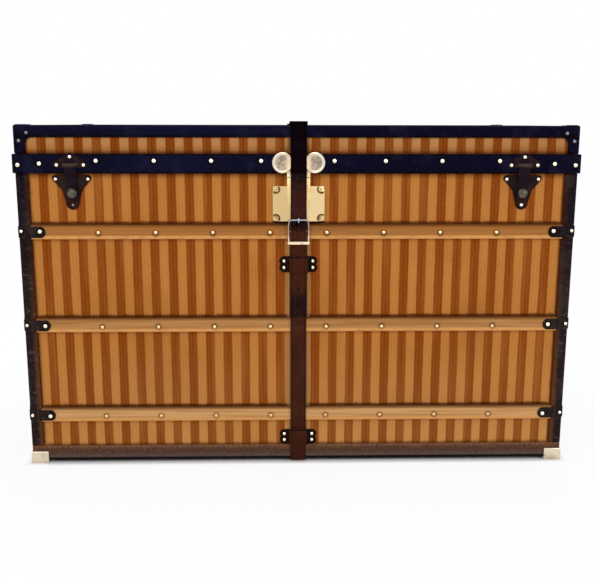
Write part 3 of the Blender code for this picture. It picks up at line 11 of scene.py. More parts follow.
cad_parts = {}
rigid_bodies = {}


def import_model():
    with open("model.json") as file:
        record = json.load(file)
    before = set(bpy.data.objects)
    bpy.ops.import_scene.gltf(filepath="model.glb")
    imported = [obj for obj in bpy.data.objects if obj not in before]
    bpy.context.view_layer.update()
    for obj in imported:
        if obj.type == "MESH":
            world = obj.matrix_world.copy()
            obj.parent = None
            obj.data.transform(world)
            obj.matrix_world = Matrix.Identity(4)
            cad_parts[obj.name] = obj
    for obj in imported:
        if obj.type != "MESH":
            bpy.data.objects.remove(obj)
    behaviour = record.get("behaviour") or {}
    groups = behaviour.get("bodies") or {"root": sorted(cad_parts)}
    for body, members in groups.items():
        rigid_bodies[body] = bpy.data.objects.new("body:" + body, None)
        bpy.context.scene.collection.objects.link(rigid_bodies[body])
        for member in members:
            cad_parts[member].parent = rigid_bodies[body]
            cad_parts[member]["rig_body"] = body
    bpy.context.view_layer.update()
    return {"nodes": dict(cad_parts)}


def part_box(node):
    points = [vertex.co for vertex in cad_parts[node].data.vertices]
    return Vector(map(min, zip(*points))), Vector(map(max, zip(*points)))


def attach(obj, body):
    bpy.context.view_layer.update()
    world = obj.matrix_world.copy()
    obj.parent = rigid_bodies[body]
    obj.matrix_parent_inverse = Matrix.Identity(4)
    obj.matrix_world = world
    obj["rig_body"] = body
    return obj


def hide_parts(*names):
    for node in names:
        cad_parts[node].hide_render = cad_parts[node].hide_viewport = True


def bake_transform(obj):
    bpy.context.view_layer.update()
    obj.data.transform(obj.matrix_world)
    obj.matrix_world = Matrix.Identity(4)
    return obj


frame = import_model()

# The trunk's sides, and its slats' rows from the floor up
FACES = ("front", "back")
ENDS = ("left", "right")
SIDES = FACES + ENDS
ROWS = ("low", "middle", "high")

# Camera, solved from the photograph's own edges; turns in degrees
CAMERA_PLACE = (-0.0407, -1.916, 0.6843)
CAMERA_TURN = -1.343
CAMERA_DOWN = 11.219
CAMERA_ROLL = 0.104
CAMERA_LENS = 50.606
SENSOR_WIDTH = 36.0

# Stage: the floor, the strength of the light all round, and each lamp's place, width and power
FLOOR_SIZE = 60.0
WHITE = (1.0, 1.0, 1.0, 1.0)
STUDIO_LIGHT = 0.42
LAMPS = {
    "key_light": ((-1.6, -3.0, 2.6), 2.4, 62.0),
    "fill_light": ((2.2, -2.6, 1.4), 2.0, 30.0),
    "top_light": ((0.0, 0.4, 3.0), 2.4, 55.0),
    "back_light": ((0.6, 3.0, 2.0), 2.4, 40.0),
}
LAMP_AIM = (0.0, 0.0, 0.35)


def middle_of(node):
    low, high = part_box(node)
    return (low + high) / 2


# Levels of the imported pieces
SLAT_LEVELS = [middle_of(f"front_slat_{row}").z for row in ROWS]
SLAT_SPACING = SLAT_LEVELS[1] - SLAT_LEVELS[0]
PARTING_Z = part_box("body_canvas")[1].z
BOTTOM_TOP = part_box("bottom_binding")[1].z
CORNER_BINDING_WIDTH = 0.024
LID_BINDING_HEIGHT = 0.0225
LID_WINDOW_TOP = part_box("lid_top_binding")[1].z - LID_BINDING_HEIGHT

# Share of a direction in a normal from which its face counts as turned that way
FACING = 0.7

# Canvas
STRIPE_PITCH = 0.035
THREAD_PITCH = 0.0012
LIGHT_STRIPE = (0.460, 0.182, 0.041)
DARK_STRIPE = (0.208, 0.037, 0.0008)
STREAK = (0.52, 0.210, 0.048)
OLD_PATCH = (0.20, 0.050, 0.006)
PALE_SPECK = (0.58, 0.26, 0.070)
DARK_SPECK = (0.12, 0.026, 0.003)
BLEACHED = (0.59, 0.29, 0.090)
DUST_AND_HIGHLIGHT = (0.64, 0.40, 0.21)
# Colour of both dirt and painted shade on the canvas
DIRT_AND_SHADE = (0.066, 0.015, 0.003)
RUBBED_CANVAS = (0.52, 0.27, 0.12)
STRAP_SHADOW = (0.040, 0.012, 0.006)
LOCK_SHADE = (0.012, 0.005, 0.005)

# Wood, and how its grain is drawn out along boards and along slats
VARNISH = (0.36, 0.145, 0.040)
SLAT_HIGH = (0.286, 0.097, 0.015)
SLAT_LOW = (0.550, 0.305, 0.120)
GRAIN_HIGH = (0.17, 0.055, 0.011)
GRAIN_LOW = (0.36, 0.160, 0.050)
SLAT_STREAK = (0.52, 0.250, 0.085)
WORN_AND_LIT_EDGE = (0.59, 0.275, 0.085)
SHADED_EDGE = (0.105, 0.034, 0.007)
NAIL_STAIN_AND_SHADOW = (0.075, 0.024, 0.008)
BOARD = (0.42, 0.29, 0.16)
BOARD_GRAIN = (0.26, 0.15, 0.07)
RUNNER = (0.20, 0.09, 0.035)
RUNNER_GRAIN = (0.09, 0.035, 0.014)
BOARD_STRETCH = 0.05
SLAT_STRETCH = 0.025

# Leather
BLUE_BLACK = (0.003, 0.003, 0.015)
BLUE_LEFT = (0.0042, 0.0042, 0.0190)
BLUE_RIGHT = (0.0022, 0.0015, 0.0105)
BLUE_SMEAR = (0.0016, 0.0014, 0.0065)
BLUE_WORN = (0.013, 0.013, 0.030)
BAND_LINE = (0.0030, 0.0006, 0.0008)
BINDING_BLACK = (0.004, 0.002, 0.005)
BINDING_HIGH = (0.0036, 0.0017, 0.0048)
BINDING_LOW = (0.0140, 0.0085, 0.0085)
BINDING_WORN = (0.048, 0.032, 0.028)
INNER_HIGH = (0.024, 0.0075, 0.0036)
INNER_LOW = (0.100, 0.033, 0.011)
CRACKED = (0.070, 0.056, 0.054)
DENT_AND_SHADOW_BLACK = (0.0015, 0.0008, 0.0012)
DARK_LEATHER = (0.0040, 0.0016, 0.0030)
DARK_WORN = (0.0075, 0.0035, 0.0050)
STRAP_BROWN = (0.044, 0.0105, 0.0046)
STRAP_WORN = (0.074, 0.026, 0.0150)
STRAP_SHADE_AND_GRIME = (0.0060, 0.0022, 0.0042)
EAR_BLACK = (0.0075, 0.0026, 0.0022)
BAR_SHADE = (0.0025, 0.0008, 0.0014)
HOLE_SHADE = (0.006, 0.002, 0.002)
BOTTOM_BROWN = (0.070, 0.030, 0.017)
BOTTOM_UPPER = (0.080, 0.036, 0.022)
BOTTOM_DUSTY = (0.098, 0.068, 0.056)
BOTTOM_RUBBED = (0.170, 0.070, 0.028)
GRIT_PALE = (0.14, 0.090, 0.064)
GRIT_DARK = (0.020, 0.010, 0.008)
FLOOR_SHADOW_LINE = (0.006, 0.003, 0.004)

# Blackened iron
JAPANNED = (0.0105, 0.0040, 0.0046)
JAPANNED_WORN = (0.034, 0.0145, 0.0115)

# Rounding of edges, and angles in degrees
LEATHER_EDGE = 0.0008
METAL_EDGE = 0.0003
THIN_EDGE = 0.0004
CANVAS_EDGE = 0.0005
EDGE_SEGMENTS = 2
JOIN_WITHIN = 0.00002
FLAT_ANGLE = 1.0
SHARP_ANGLE = 30.0
SMOOTH_ANGLE = 35.0
DOME_ANGLE = 50.0

# Nails along the slats and along the rim band, and how far each row stands from its slat's middle
NAIL_PITCH = 0.111
SIDE_NAIL_PAIRS = 4
END_NAIL_PAIRS = 2
NAIL_RISES = (-0.0030, -0.0035, -0.0007)
CLAMP_NAIL_RISES = (-0.0020, -0.0005, 0.0015)
CLAMP_NAIL_INSET = 0.040
EDGE_NAIL_INSET = 0.0025
BAND_NAIL_RISE = 0.0244
CORNER_NAILS = ((0.0145, 0.0166), (0.0552, 0.0190))
CAP_NAILS = ((0.0275, 0.0160), (0.0125, 0.0310))
BAND_NAILS = {
    "front": (-0.3874, -0.277, -0.1677, -0.0719, 0.069, 0.1677, 0.2769, 0.3885),
    "back": (-0.440, -0.277, -0.168, -0.070, 0.070, 0.168, 0.277, 0.440),
    "left": (-0.168, -0.056, 0.056, 0.168),
    "right": (-0.168, -0.056, 0.056, 0.168),
}

# Nails of the fittings: sideways from a fitting's middle, and upwards from the parting or from
# the fitting's middle
CLASP_LID_NAILS = ((-0.0255, 0.0165), (0.0255, 0.0165), (0.0, 0.0320))
CLASP_BODY_NAILS = ((-0.031, -0.0105), (0.031, -0.0105))
CLASP_TIP_DROP = 0.0605
KEEPER_NAILS = (0.028, 0.0065)
HANDLE_RIVETS = (0.102, 0.011)
HINGE_RIVETS_ASIDE = 0.015
HINGE_BODY_DROPS = (0.020, 0.047)
HINGE_LID_RISE = 0.025
LOCK_EAR_INSET = 0.006

# Tacks along the bottom binding
TACK_PITCH = 0.0105
TACK_DROP = 0.003
TACK_CORNER_GAP = 0.036
TACK_STRAP_GAP = 0.036

# Nail heads
NAIL_RADIUS = 0.0036
BIG_NAIL_RADIUS = 0.0043
NAIL_HEIGHT = 0.0021
RIVET_RADIUS = 0.0026
RIVET_HEIGHT = 0.0012
TACK_RADIUS = 0.0021
TACK_HEIGHT = 0.0012
NAIL_SINK = 0.0002
MARK_THICK = 0.0004
MARK_WIDER = 0.0022
SMALL_MARK_WIDER = 0.0012

# How far the nailed surfaces stand in front of the canvas or of the rim band
CLAMP_PROUD = 0.0095
CLAMP_EDGE_PROUD = 0.0037
BAND_CLAMP_PROUD = 0.0010
LEAF_PROUD = 0.0018
KEEPER_PROUD = 0.0023
PLATE_PROUD = 0.0023
LOCK_EAR_PROUD = 0.0033

# Strap, with heights on its tail as pairs: where a change begins and where it is full
CREASE_X = 0.0125
EAR_X = (0.0165, 0.0190)
HOLE_FIRST_Z = 0.3967
HOLE_PITCH = 0.0317
HOLE_HALF_WIDTH = 0.0019
HOLE_HALF_HEIGHT = 0.0036
PUNCHED = ((0.355, 0.365), (0.450, 0.440))
UNDER_BAR = ((0.476, 0.487), (0.505, 0.501))
ABOVE_BUCKLE = ((0.500, 0.506), (0.560, 0.530))
BLACK_ABOVE = (0.530, 0.588)

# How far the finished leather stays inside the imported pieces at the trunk's two ends, and how
# round it is worn there
CAP_END_INSET = 0.0018
BAND_END_INSET = 0.0040
CAP_END_RADIUS = 0.008
BAND_END_RADIUS = 0.0035
WEAR_ANGLES = (22.5, 45.0, 67.5)

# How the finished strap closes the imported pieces' small gaps
TAIL_LONGER = 0.0009
SEAT_GAP = 0.00003

# The side clasps' bosses and knuckles, and the round lobes of the lock's leaf
BOSS_RADIUS = 0.0108
BOSS_HEIGHT = 0.0028
BOSS_RISE = 0.0135
TONGUE_BACK = 0.0086
KNUCKLE_RISE = 0.0165
LOBE_RADIUS = 0.020


class Finish:
    """A procedural material: one Principled shader and the nodes that feed it."""

    def __init__(self, name, colour, roughness, metallic=0.0, shine=0.5):
        self.material = bpy.data.materials.new(name)
        self.material.use_nodes = True
        self.tree = self.material.node_tree
        self.shader = self.tree.nodes["Principled BSDF"]
        self.colour(colour)
        self.rough(roughness)
        self.feed(self.shader.inputs["Metallic"], metallic)
        self.feed(self.shader.inputs["Specular IOR Level"], shine)
        where = self.tree.nodes.new("ShaderNodeTexCoord")
        self.place = where.outputs["Object"]
        self.surface = where.outputs["UV"]
        self.x, self.y, self.z = self.parts_of(self.place)

    def feed(self, socket, value):
        """Join an output to a socket, or set the socket's own value."""
        if isinstance(value, bpy.types.NodeSocket):
            self.tree.links.new(value, socket)
        elif isinstance(value, tuple) and len(value) == 3 and socket.type == "RGBA":
            socket.default_value = (*value, 1.0)
        else:
            socket.default_value = value

    def node(self, kind, **values):
        """A new node, with its named inputs fed."""
        step = self.tree.nodes.new(kind)
        for name, value in values.items():
            self.feed(step.inputs[name], value)
        return step

    def parts_of(self, vector):
        return self.node("ShaderNodeSeparateXYZ", Vector=vector).outputs

    def calc(self, operation, first, second=0.0):
        step = self.tree.nodes.new("ShaderNodeMath")
        step.operation = operation
        self.feed(step.inputs[0], first)
        self.feed(step.inputs[1], second)
        return step.outputs[0]

    def plus(self, first, second):
        return self.calc("ADD", first, second)

    def minus(self, first, second):
        return self.calc("SUBTRACT", first, second)

    def times(self, first, second):
        return self.calc("MULTIPLY", first, second)

    def largest(self, first, *others):
        for other in others:
            first = self.calc("MAXIMUM", first, other)
        return first

    def size(self, value):
        return self.calc("ABSOLUTE", value)

    def away(self, value, place):
        """How far a value is from a place, to either side."""
        return self.size(self.minus(value, place))

    def span(self, first, second):
        """The length of a leg pair: how far a point lies from a centre."""
        squares = [self.times(leg, leg) for leg in (first, second)]
        return self.calc("SQRT", self.plus(*squares))

    def cycle(self, value, start, pitch):
        """Distance from the nearest of the places start, start + pitch and so on."""
        moved = self.minus(value, start - pitch / 2)
        return self.minus(self.calc("FLOORED_MODULO", moved, pitch), pitch / 2)

    def above_slat(self):
        """Height above the nearest slat's middle."""
        return self.cycle(self.z, SLAT_LEVELS[0], SLAT_SPACING)

    def fade(self, value, start, end, low=0.0, high=1.0):
        """A smooth step from low to high as the value goes from start to end."""
        step = self.tree.nodes.new("ShaderNodeMapRange")
        step.interpolation_type = "SMOOTHSTEP"
        for socket, given in zip(step.inputs, (value, start, end, low, high)):
            self.feed(socket, given)
        return step.outputs[0]

    def within(self, value, first, second):
        """1 between two limits, 0 outside; a limit is where it begins to show and where it is full."""
        return self.times(self.fade(value, *first), self.fade(value, *second))

    def blend(self, share, first, second):
        step = self.tree.nodes.new("ShaderNodeMix")
        step.data_type = "RGBA"
        self.feed(step.inputs[0], share)
        self.feed(step.inputs[6], first)
        self.feed(step.inputs[7], second)
        return step.outputs[2]

    def cover(self, face, colour, share, most):
        """Lay a colour over a face: the share times the most of it."""
        return self.blend(self.times(share, most), face, colour)

    def tint(self, face, colour, value, start, end, most=1.0):
        """Lay a colour over a face: none where the value is start, the most where it is end."""
        return self.blend(self.fade(value, start, end, 0.0, most), face, colour)

    def noise(self, scale, stretch=(1.0, 1.0, 1.0), detail=4.0, source=None):
        where = self.node("ShaderNodeMapping", Vector=source or self.place, Scale=stretch).outputs[0]
        return self.node("ShaderNodeTexNoise", Vector=where, Scale=scale, Detail=detail).outputs["Fac"]

    def cells(self, scale, source=None):
        where = source or self.place
        return self.node("ShaderNodeTexVoronoi", Vector=where, Scale=scale).outputs["Distance"]

    def colour(self, value):
        self.feed(self.shader.inputs["Base Color"], value)

    def rough(self, value):
        self.feed(self.shader.inputs["Roughness"], value)

    def bump(self, height, depth):
        """Raise the surface by up to depth metres; each call adds to the ones before."""
        step = self.node("ShaderNodeBump", Height=height, Distance=depth)
        before = self.shader.inputs["Normal"].links
        if before:
            self.feed(step.inputs["Normal"], before[0].from_socket)
        self.feed(self.shader.inputs["Normal"], step.outputs[0])


def on_lid_side(canvas):
    """Where the canvas lies below the lid's flat top."""
    return canvas.fade(canvas.z, LID_WINDOW_TOP + 0.004, LID_WINDOW_TOP + 0.001)


def canvas_dirt_and_shade(canvas):
    """How much the canvas is darkened, most along the edges of whatever lies on it: dirt, and painted
    shade under the rim band, under the lid's top binding and beside the strap.
    """
    level = canvas.above_slat()
    ragged = canvas.times(canvas.noise(70.0), -0.006)
    aside = canvas.size(canvas.x)
    ragged_aside = canvas.plus(aside, canvas.times(ragged, -0.7))
    strap_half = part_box("strap_lower")[1].x
    band_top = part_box("lid_rim_band")[1].z
    inner_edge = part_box("body_canvas")[1].x - CORNER_BINDING_WIDTH

    on_slat = canvas.fade(canvas.plus(level, ragged), 0.0195, 0.0145)
    along_slat = canvas.times(on_slat, canvas.fade(level, 0.0, 0.006))
    # Painted shade: the canvas darker just under the lid's rim band
    shade_under_band = canvas.fade(canvas.z, PARTING_Z - 0.014, PARTING_Z, 0.0, 0.45)
    by_binding = canvas.times(
        canvas.fade(ragged_aside, inner_edge - 0.003, inner_edge + 0.004),
        canvas.fade(aside, inner_edge + 0.012, inner_edge + 0.006, 0.0, 0.8),
    )
    ragged_height = canvas.plus(canvas.z, ragged)
    by_floor = canvas.fade(ragged_height, BOTTOM_TOP + 0.005, BOTTOM_TOP - 0.003, 0.0, 0.8)
    on_body = canvas.fade(canvas.z, PARTING_Z + 0.003, PARTING_Z + 0.0005)
    body_dirt_and_shade = canvas.times(canvas.largest(along_slat, shade_under_band, by_binding, by_floor), on_body)

    # Painted shadow under the lid's top binding; painted shadow and dirt just above the rim band
    shadow_under_cap = canvas.fade(canvas.z, LID_WINDOW_TOP - 0.0055, LID_WINDOW_TOP - 0.0005, 0.0, 0.85)
    above_band = canvas.fade(canvas.z, band_top + 0.0095, band_top + 0.0005, 0.0, 0.8)
    # Painted shadow of the strap on the lid's canvas beside it
    strap_shadow_on_lid = canvas.fade(aside, strap_half + 0.0075, strap_half + 0.001, 0.0, 0.7)
    on_lid = canvas.fade(canvas.z, PARTING_Z + 0.0005, PARTING_Z + 0.003)
    lid_dirt_and_shade = canvas.times(canvas.largest(shadow_under_cap, above_band, strap_shadow_on_lid), on_lid_side(canvas))
    return canvas.plus(body_dirt_and_shade, canvas.times(lid_dirt_and_shade, on_lid))


def in_front_of(canvas, half, margin):
    """Where the front's canvas lies within a half width of the middle."""
    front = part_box("body_canvas")[0].y
    in_front = canvas.fade(canvas.y, front + 0.0065, front + 0.0035)
    return canvas.times(canvas.fade(canvas.size(canvas.x), half + margin, half), in_front)


def lock_shadow(canvas):
    """The painted shadow: a dark line on the canvas along the lock's lower edge."""
    low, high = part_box("lock_case")
    strip = canvas.within(
        canvas.z, (low.z + 0.001, low.z - 0.0003), (low.z - 0.0048, low.z - 0.0032)
    )
    return canvas.times(in_front_of(canvas, high.x - 0.001, 0.003), strip)


def strap_rub_and_shadow(canvas, cloth):
    """The canvas along the strap below the lock: rubbed pale, with the strap's painted shadow as a dark
    line at its edge.
    """
    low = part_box("lock_case")[0].z
    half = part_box("strap_lower")[1].x
    below_lock = canvas.fade(canvas.z, low, low - 0.012)
    pale = canvas.times(in_front_of(canvas, half + 0.0035, 0.0060), below_lock)
    cloth = canvas.cover(cloth, RUBBED_CANVAS, pale, 0.55)
    # Painted shadow of the strap along its edges
    dark = canvas.times(in_front_of(canvas, half + 0.0015, 0.0012), below_lock)
    high_up = canvas.fade(canvas.z, SLAT_LEVELS[1] - 0.010, SLAT_LEVELS[1] + 0.020, 0.35, 0.9)
    return canvas.cover(cloth, STRAP_SHADOW, dark, high_up)


def bleaching(canvas, dark, patches):
    """How far the canvas has faded: most near the floor, in patches and on the light stripes."""
    low_down = canvas.fade(canvas.z, SLAT_LEVELS[1], SLAT_LEVELS[0], 0.0, 0.36)
    near_floor = canvas.fade(canvas.z, SLAT_LEVELS[0], BOTTOM_TOP + 0.010, 0.0, 0.34)
    share = canvas.times(canvas.plus(low_down, near_floor), canvas.fade(patches, 0.30, 0.62, 0.45, 1.0))
    return canvas.times(share, canvas.fade(dark, 0.0, 1.0, 1.0, 0.15))


def age_lid(canvas, cloth, dark):
    """The lid's canvas: paler on its light stripes towards the top, with dust and a painted highlight,
    and a little darker.
    """
    above_parting = canvas.fade(canvas.z, PARTING_Z + 0.001, PARTING_Z + 0.004)
    on_lid = canvas.times(above_parting, on_lid_side(canvas))
    # Dust and a painted highlight, strongest just under the lid's top binding
    dusty = canvas.fade(canvas.z, LID_WINDOW_TOP - 0.025, LID_WINDOW_TOP - 0.013, 0.05, 0.26)
    cloth = canvas.cover(cloth, DUST_AND_HIGHLIGHT, canvas.times(dusty, on_lid), canvas.minus(1.0, dark))
    return canvas.cover(cloth, DIRT_AND_SHADE, on_lid, 0.20)


def make_canvas():
    """Coated striped canvas: woven stripes, streaks of age, a dark line along each slat's top, and dirt
    and painted shade by what lies on it.
    """
    canvas = Finish("striped_canvas", LIGHT_STRIPE, 0.55, shine=0.01)
    u, v = canvas.parts_of(canvas.surface)[:2]
    ragged = canvas.noise(260.0, (1.0, 0.08, 1.0), 2.0, canvas.surface)
    turn = canvas.times(canvas.plus(u, canvas.times(ragged, 0.0022)), 2 * math.pi / STRIPE_PITCH)
    dark = canvas.fade(canvas.calc("COSINE", turn), -0.42, 0.34)
    lines = canvas.fade(canvas.calc("COSINE", canvas.times(turn, 5.0)), -0.6, 0.9)
    share = canvas.plus(canvas.times(dark, 0.86), canvas.times(lines, 0.12))
    cloth = canvas.blend(share, LIGHT_STRIPE, DARK_STRIPE)
    streaks = canvas.noise(55.0, (1.0, 0.05, 1.0), 5.0, canvas.surface)
    patches = canvas.noise(5.0, detail=6.0)
    specks = canvas.noise(420.0, detail=2.0)
    cloth = canvas.tint(cloth, STREAK, streaks, 0.42, 0.72, 0.26)
    cloth = canvas.tint(cloth, OLD_PATCH, patches, 0.48, 0.72, 0.30)
    cloth = canvas.tint(cloth, PALE_SPECK, specks, 0.58, 0.75, 0.42)
    cloth = canvas.tint(cloth, DARK_SPECK, specks, 0.42, 0.26, 0.50)
    cloth = canvas.blend(bleaching(canvas, dark, patches), cloth, BLEACHED)
    cloth = age_lid(canvas, cloth, dark)
    # Dirt and painted shade laid over the cloth
    cloth = canvas.cover(cloth, DIRT_AND_SHADE, canvas_dirt_and_shade(canvas), 0.88)
    cloth = strap_rub_and_shadow(canvas, cloth)
    # Painted shadow of the lock on the canvas below it
    canvas.colour(canvas.cover(cloth, LOCK_SHADE, lock_shadow(canvas), 0.9))
    canvas.rough(canvas.fade(patches, 0.3, 0.7, 0.42, 0.60))
    weave = [canvas.calc("SINE", canvas.times(way, 2 * math.pi / THREAD_PITCH)) for way in (u, v)]
    canvas.bump(canvas.times(*weave), 0.00008)
    canvas.bump(canvas.noise(30.0), 0.0006)
    return canvas.material


def make_slat_wood(name, stretch, along):
    """Varnished slats: pale along their lower edges from wear and a painted highlight, painted shade
    along their top edges, and dark round each nail from stains and painted shadow.
    """
    wood = Finish(name, VARNISH, 0.38, shine=0.04)
    grain = wood.noise(240.0, stretch, 5.0)
    coarse = wood.noise(9.0, stretch, 3.0)
    pale = wood.fade(wood.z, SLAT_LEVELS[0], SLAT_LEVELS[2], 1.0, 0.0)
    face = wood.blend(pale, SLAT_HIGH, SLAT_LOW)
    face = wood.tint(face, wood.blend(pale, GRAIN_HIGH, GRAIN_LOW), grain, 0.42, 0.62, 0.55)
    face = wood.tint(face, SLAT_STREAK, coarse, 0.50, 0.75, 0.40)
    level = wood.above_slat()
    # Pale lower edges: wear, and a painted highlight on the rounded edge
    low_edge = wood.fade(level, -0.0058, -0.0080)
    worn = wood.times(low_edge, wood.fade(wood.noise(38.0), 0.30, 0.52, 0.6, 1.0))
    face = wood.blend(worn, face, WORN_AND_LIT_EDGE)
    face = wood.tint(face, SHADED_EDGE, level, 0.0078, 0.0140, 0.78)
    position = {"x": wood.x, "y": wood.y}[along]
    # Dark halo round each nail: stain, and the nail's painted shadow
    aside = wood.cycle(position, NAIL_PITCH / 2, NAIL_PITCH)
    reach = wood.span(aside, wood.plus(level, 0.0025))
    halo = wood.times(wood.fade(reach, 0.0095, 0.0038), wood.fade(coarse, 0.35, 0.6, 0.6, 1.0))
    wood.colour(wood.cover(face, NAIL_STAIN_AND_SHADOW, halo, 0.72))
    wood.rough(wood.fade(grain, 0.3, 0.7, 0.30, 0.52))
    wood.bump(grain, 0.0003)
    return wood.material


def make_plain_wood(name, stretch, colour, dark):
    """Bare boards: straight grain with a few darker streaks."""
    wood = Finish(name, colour, 0.68, shine=0.15)
    grain = wood.noise(70.0, stretch, 6.0)
    face = wood.tint(colour, dark, grain, 0.42, 0.68, 0.5)
    wood.colour(wood.tint(face, dark, wood.noise(8.0, stretch), 0.52, 0.62, 0.4))
    wood.bump(grain, 0.0003)
    return wood.material


def finish_leather(leather, face, worn, roughness, wear):
    """Fine pebble grain, broad scuffs and small specks rubbed paler, over a leather's colour."""
    pebbles = leather.cells(280.0)
    scuffs = leather.noise(26.0, detail=8.0)
    face = leather.cover(face, worn, leather.fade(scuffs, 0.52, 0.70), wear)
    face = leather.tint(face, worn, leather.noise(150.0), 0.60, 0.72, wear)
    leather.colour(leather.tint(face, worn, pebbles, 0.50, 0.9, 0.25))
    leather.rough(leather.fade(scuffs, 0.35, 0.65, roughness - 0.08, roughness + 0.16))
    leather.bump(pebbles, 0.0003)
    leather.bump(scuffs, 0.0010)


def make_band_leather():
    """Blue-black leather of the lid's bindings, with darker lines along their edges."""
    leather = Finish("band_leather", BLUE_BLACK, 0.36, shine=0.02)
    smears = leather.noise(4.0, detail=5.0)
    side = leather.fade(leather.plus(leather.x, leather.times(smears, 0.3)), -0.15, 0.30)
    face = leather.blend(side, BLUE_LEFT, BLUE_RIGHT)
    face = leather.tint(face, BLUE_SMEAR, smears, 0.40, 0.68, 0.55)
    band_low, band_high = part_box("lid_rim_band")
    for level in (band_low.z, band_high.z, LID_WINDOW_TOP):
        face = leather.tint(face, BAND_LINE, leather.away(leather.z, level), 0.0050, 0.0010, 0.85)
    finish_leather(leather, face, BLUE_WORN, 0.36, 0.35)
    return leather.material


def make_binding_leather():
    """Near-black leather of the corner bindings and the handles, rubbed brown low down and
    along the inner edges."""
    leather = Finish("binding_leather", BINDING_BLACK, 0.44, shine=0.03)
    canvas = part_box("body_canvas")[1]
    low_down = leather.fade(leather.z, PARTING_Z, SLAT_LEVELS[1])
    face = leather.blend(low_down, BINDING_HIGH, BINDING_LOW)
    ragged = leather.plus(leather.size(leather.x), leather.times(leather.noise(70.0), 0.008))
    inner = leather.times(
        leather.fade(ragged, canvas.x - 0.006, canvas.x - 0.013, 0.0, 0.9),
        leather.fade(leather.size(leather.y), canvas.y + 0.0075, canvas.y + 0.0055),
    )
    near_floor = leather.fade(leather.z, SLAT_LEVELS[2], SLAT_LEVELS[0])
    face = leather.blend(inner, face, leather.blend(near_floor, INNER_HIGH, INNER_LOW))
    cracks = leather.noise(130.0, (0.7, 0.7, 1.3), 3.0)
    face = leather.cover(face, CRACKED, leather.fade(cracks, 0.58, 0.68, 0.0, 0.65), low_down)
    finish_leather(leather, face, BINDING_WORN, 0.44, 0.45)
    return leather.material


def make_dent_and_shadow_leather():
    """The dark dent round a nail: pressed leather, and the nail's painted shadow."""
    return Finish("nail_dent_and_shadow", DENT_AND_SHADOW_BLACK, 0.6, shine=0.02).material


def blacken_ears(leather, face, aside):
    """The keepers' nailed ears, dark with age and painted shade, and a painted shadow along their upper
    edges.
    """
    face = leather.tint(face, EAR_BLACK, aside, *EAR_X)
    # Painted shadow along each keeper's upper edge
    for node in ("strap_keeper_upper", "strap_keeper_lower"):
        edge = leather.away(leather.z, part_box(node)[1].z)
        face = leather.tint(face, STRAP_SHADE_AND_GRIME, edge, 0.0026, 0.0014, 0.85)
    return face


def punch_tail(leather, face):
    """The tail's punched holes, painted dark as the shade in their depth, its black upper part and its
    shades round the buckle.
    """
    u, v = leather.parts_of(leather.surface)[:2]
    along = leather.cycle(v, HOLE_FIRST_Z, HOLE_PITCH)
    reach = leather.span(
        leather.calc("DIVIDE", u, HOLE_HALF_WIDTH), leather.calc("DIVIDE", along, HOLE_HALF_HEIGHT)
    )
    hole = leather.times(leather.fade(reach, 1.2, 0.8), leather.within(v, *PUNCHED))
    face = leather.tint(face, DARK_LEATHER, v, *BLACK_ABOVE)
    face = leather.cover(face, STRAP_SHADE_AND_GRIME, leather.within(v, *ABOVE_BUCKLE), 0.45)
    face = leather.cover(face, BAR_SHADE, leather.within(v, *UNDER_BAR), 0.9)
    leather.bump(hole, -0.0012)
    return leather.cover(face, HOLE_SHADE, hole, 0.8)


def make_strap_leather(name, colour, worn, holes=False, ears=False, shine=0.03):
    """Strap leather: a crease along each edge, cross cracks, and grime and painted shade above the
    middle slat; the tail has punched holes, and the keepers' ears are darkened with age and painted
    shade."""
    leather = Finish(name, colour, 0.45, shine=shine)
    source = leather.surface if holes else leather.place
    pebbles = leather.cells(320.0, source)
    scuffs = leather.noise(30.0, detail=8.0, source=source)
    cracks = leather.noise(60.0, (0.12, 1.0, 1.0), 6.0, source)
    dark = tuple(0.4 * share for share in colour)
    face = leather.tint(colour, worn, scuffs, 0.48, 0.72, 0.55)
    face = leather.tint(face, dark, cracks, 0.55, 0.70, 0.6)
    aside = leather.size(leather.x)
    crease = leather.fade(leather.away(aside, CREASE_X), 0.0013, 0.0003)
    face = leather.cover(face, dark, crease, 0.7)
    leather.bump(crease, -0.0004)
    # Darker where the strap rises over the middle slat: grime, and painted shade
    slat_top = SLAT_LEVELS[1] + 0.014
    grime_and_shade_over_slat = leather.within(
        leather.z, (slat_top + 0.066, slat_top + 0.036), (slat_top, slat_top + 0.005)
    )
    face = leather.cover(face, STRAP_SHADE_AND_GRIME, grime_and_shade_over_slat, 0.85)
    if ears:
        face = blacken_ears(leather, face, aside)
    if holes:
        face = punch_tail(leather, face)
    leather.colour(leather.tint(face, worn, pebbles, 0.50, 0.9, 0.3))
    leather.rough(leather.fade(scuffs, 0.35, 0.65, 0.36, 0.58))
    leather.bump(pebbles, 0.0002)
    leather.bump(cracks, 0.0005)
    return leather.material


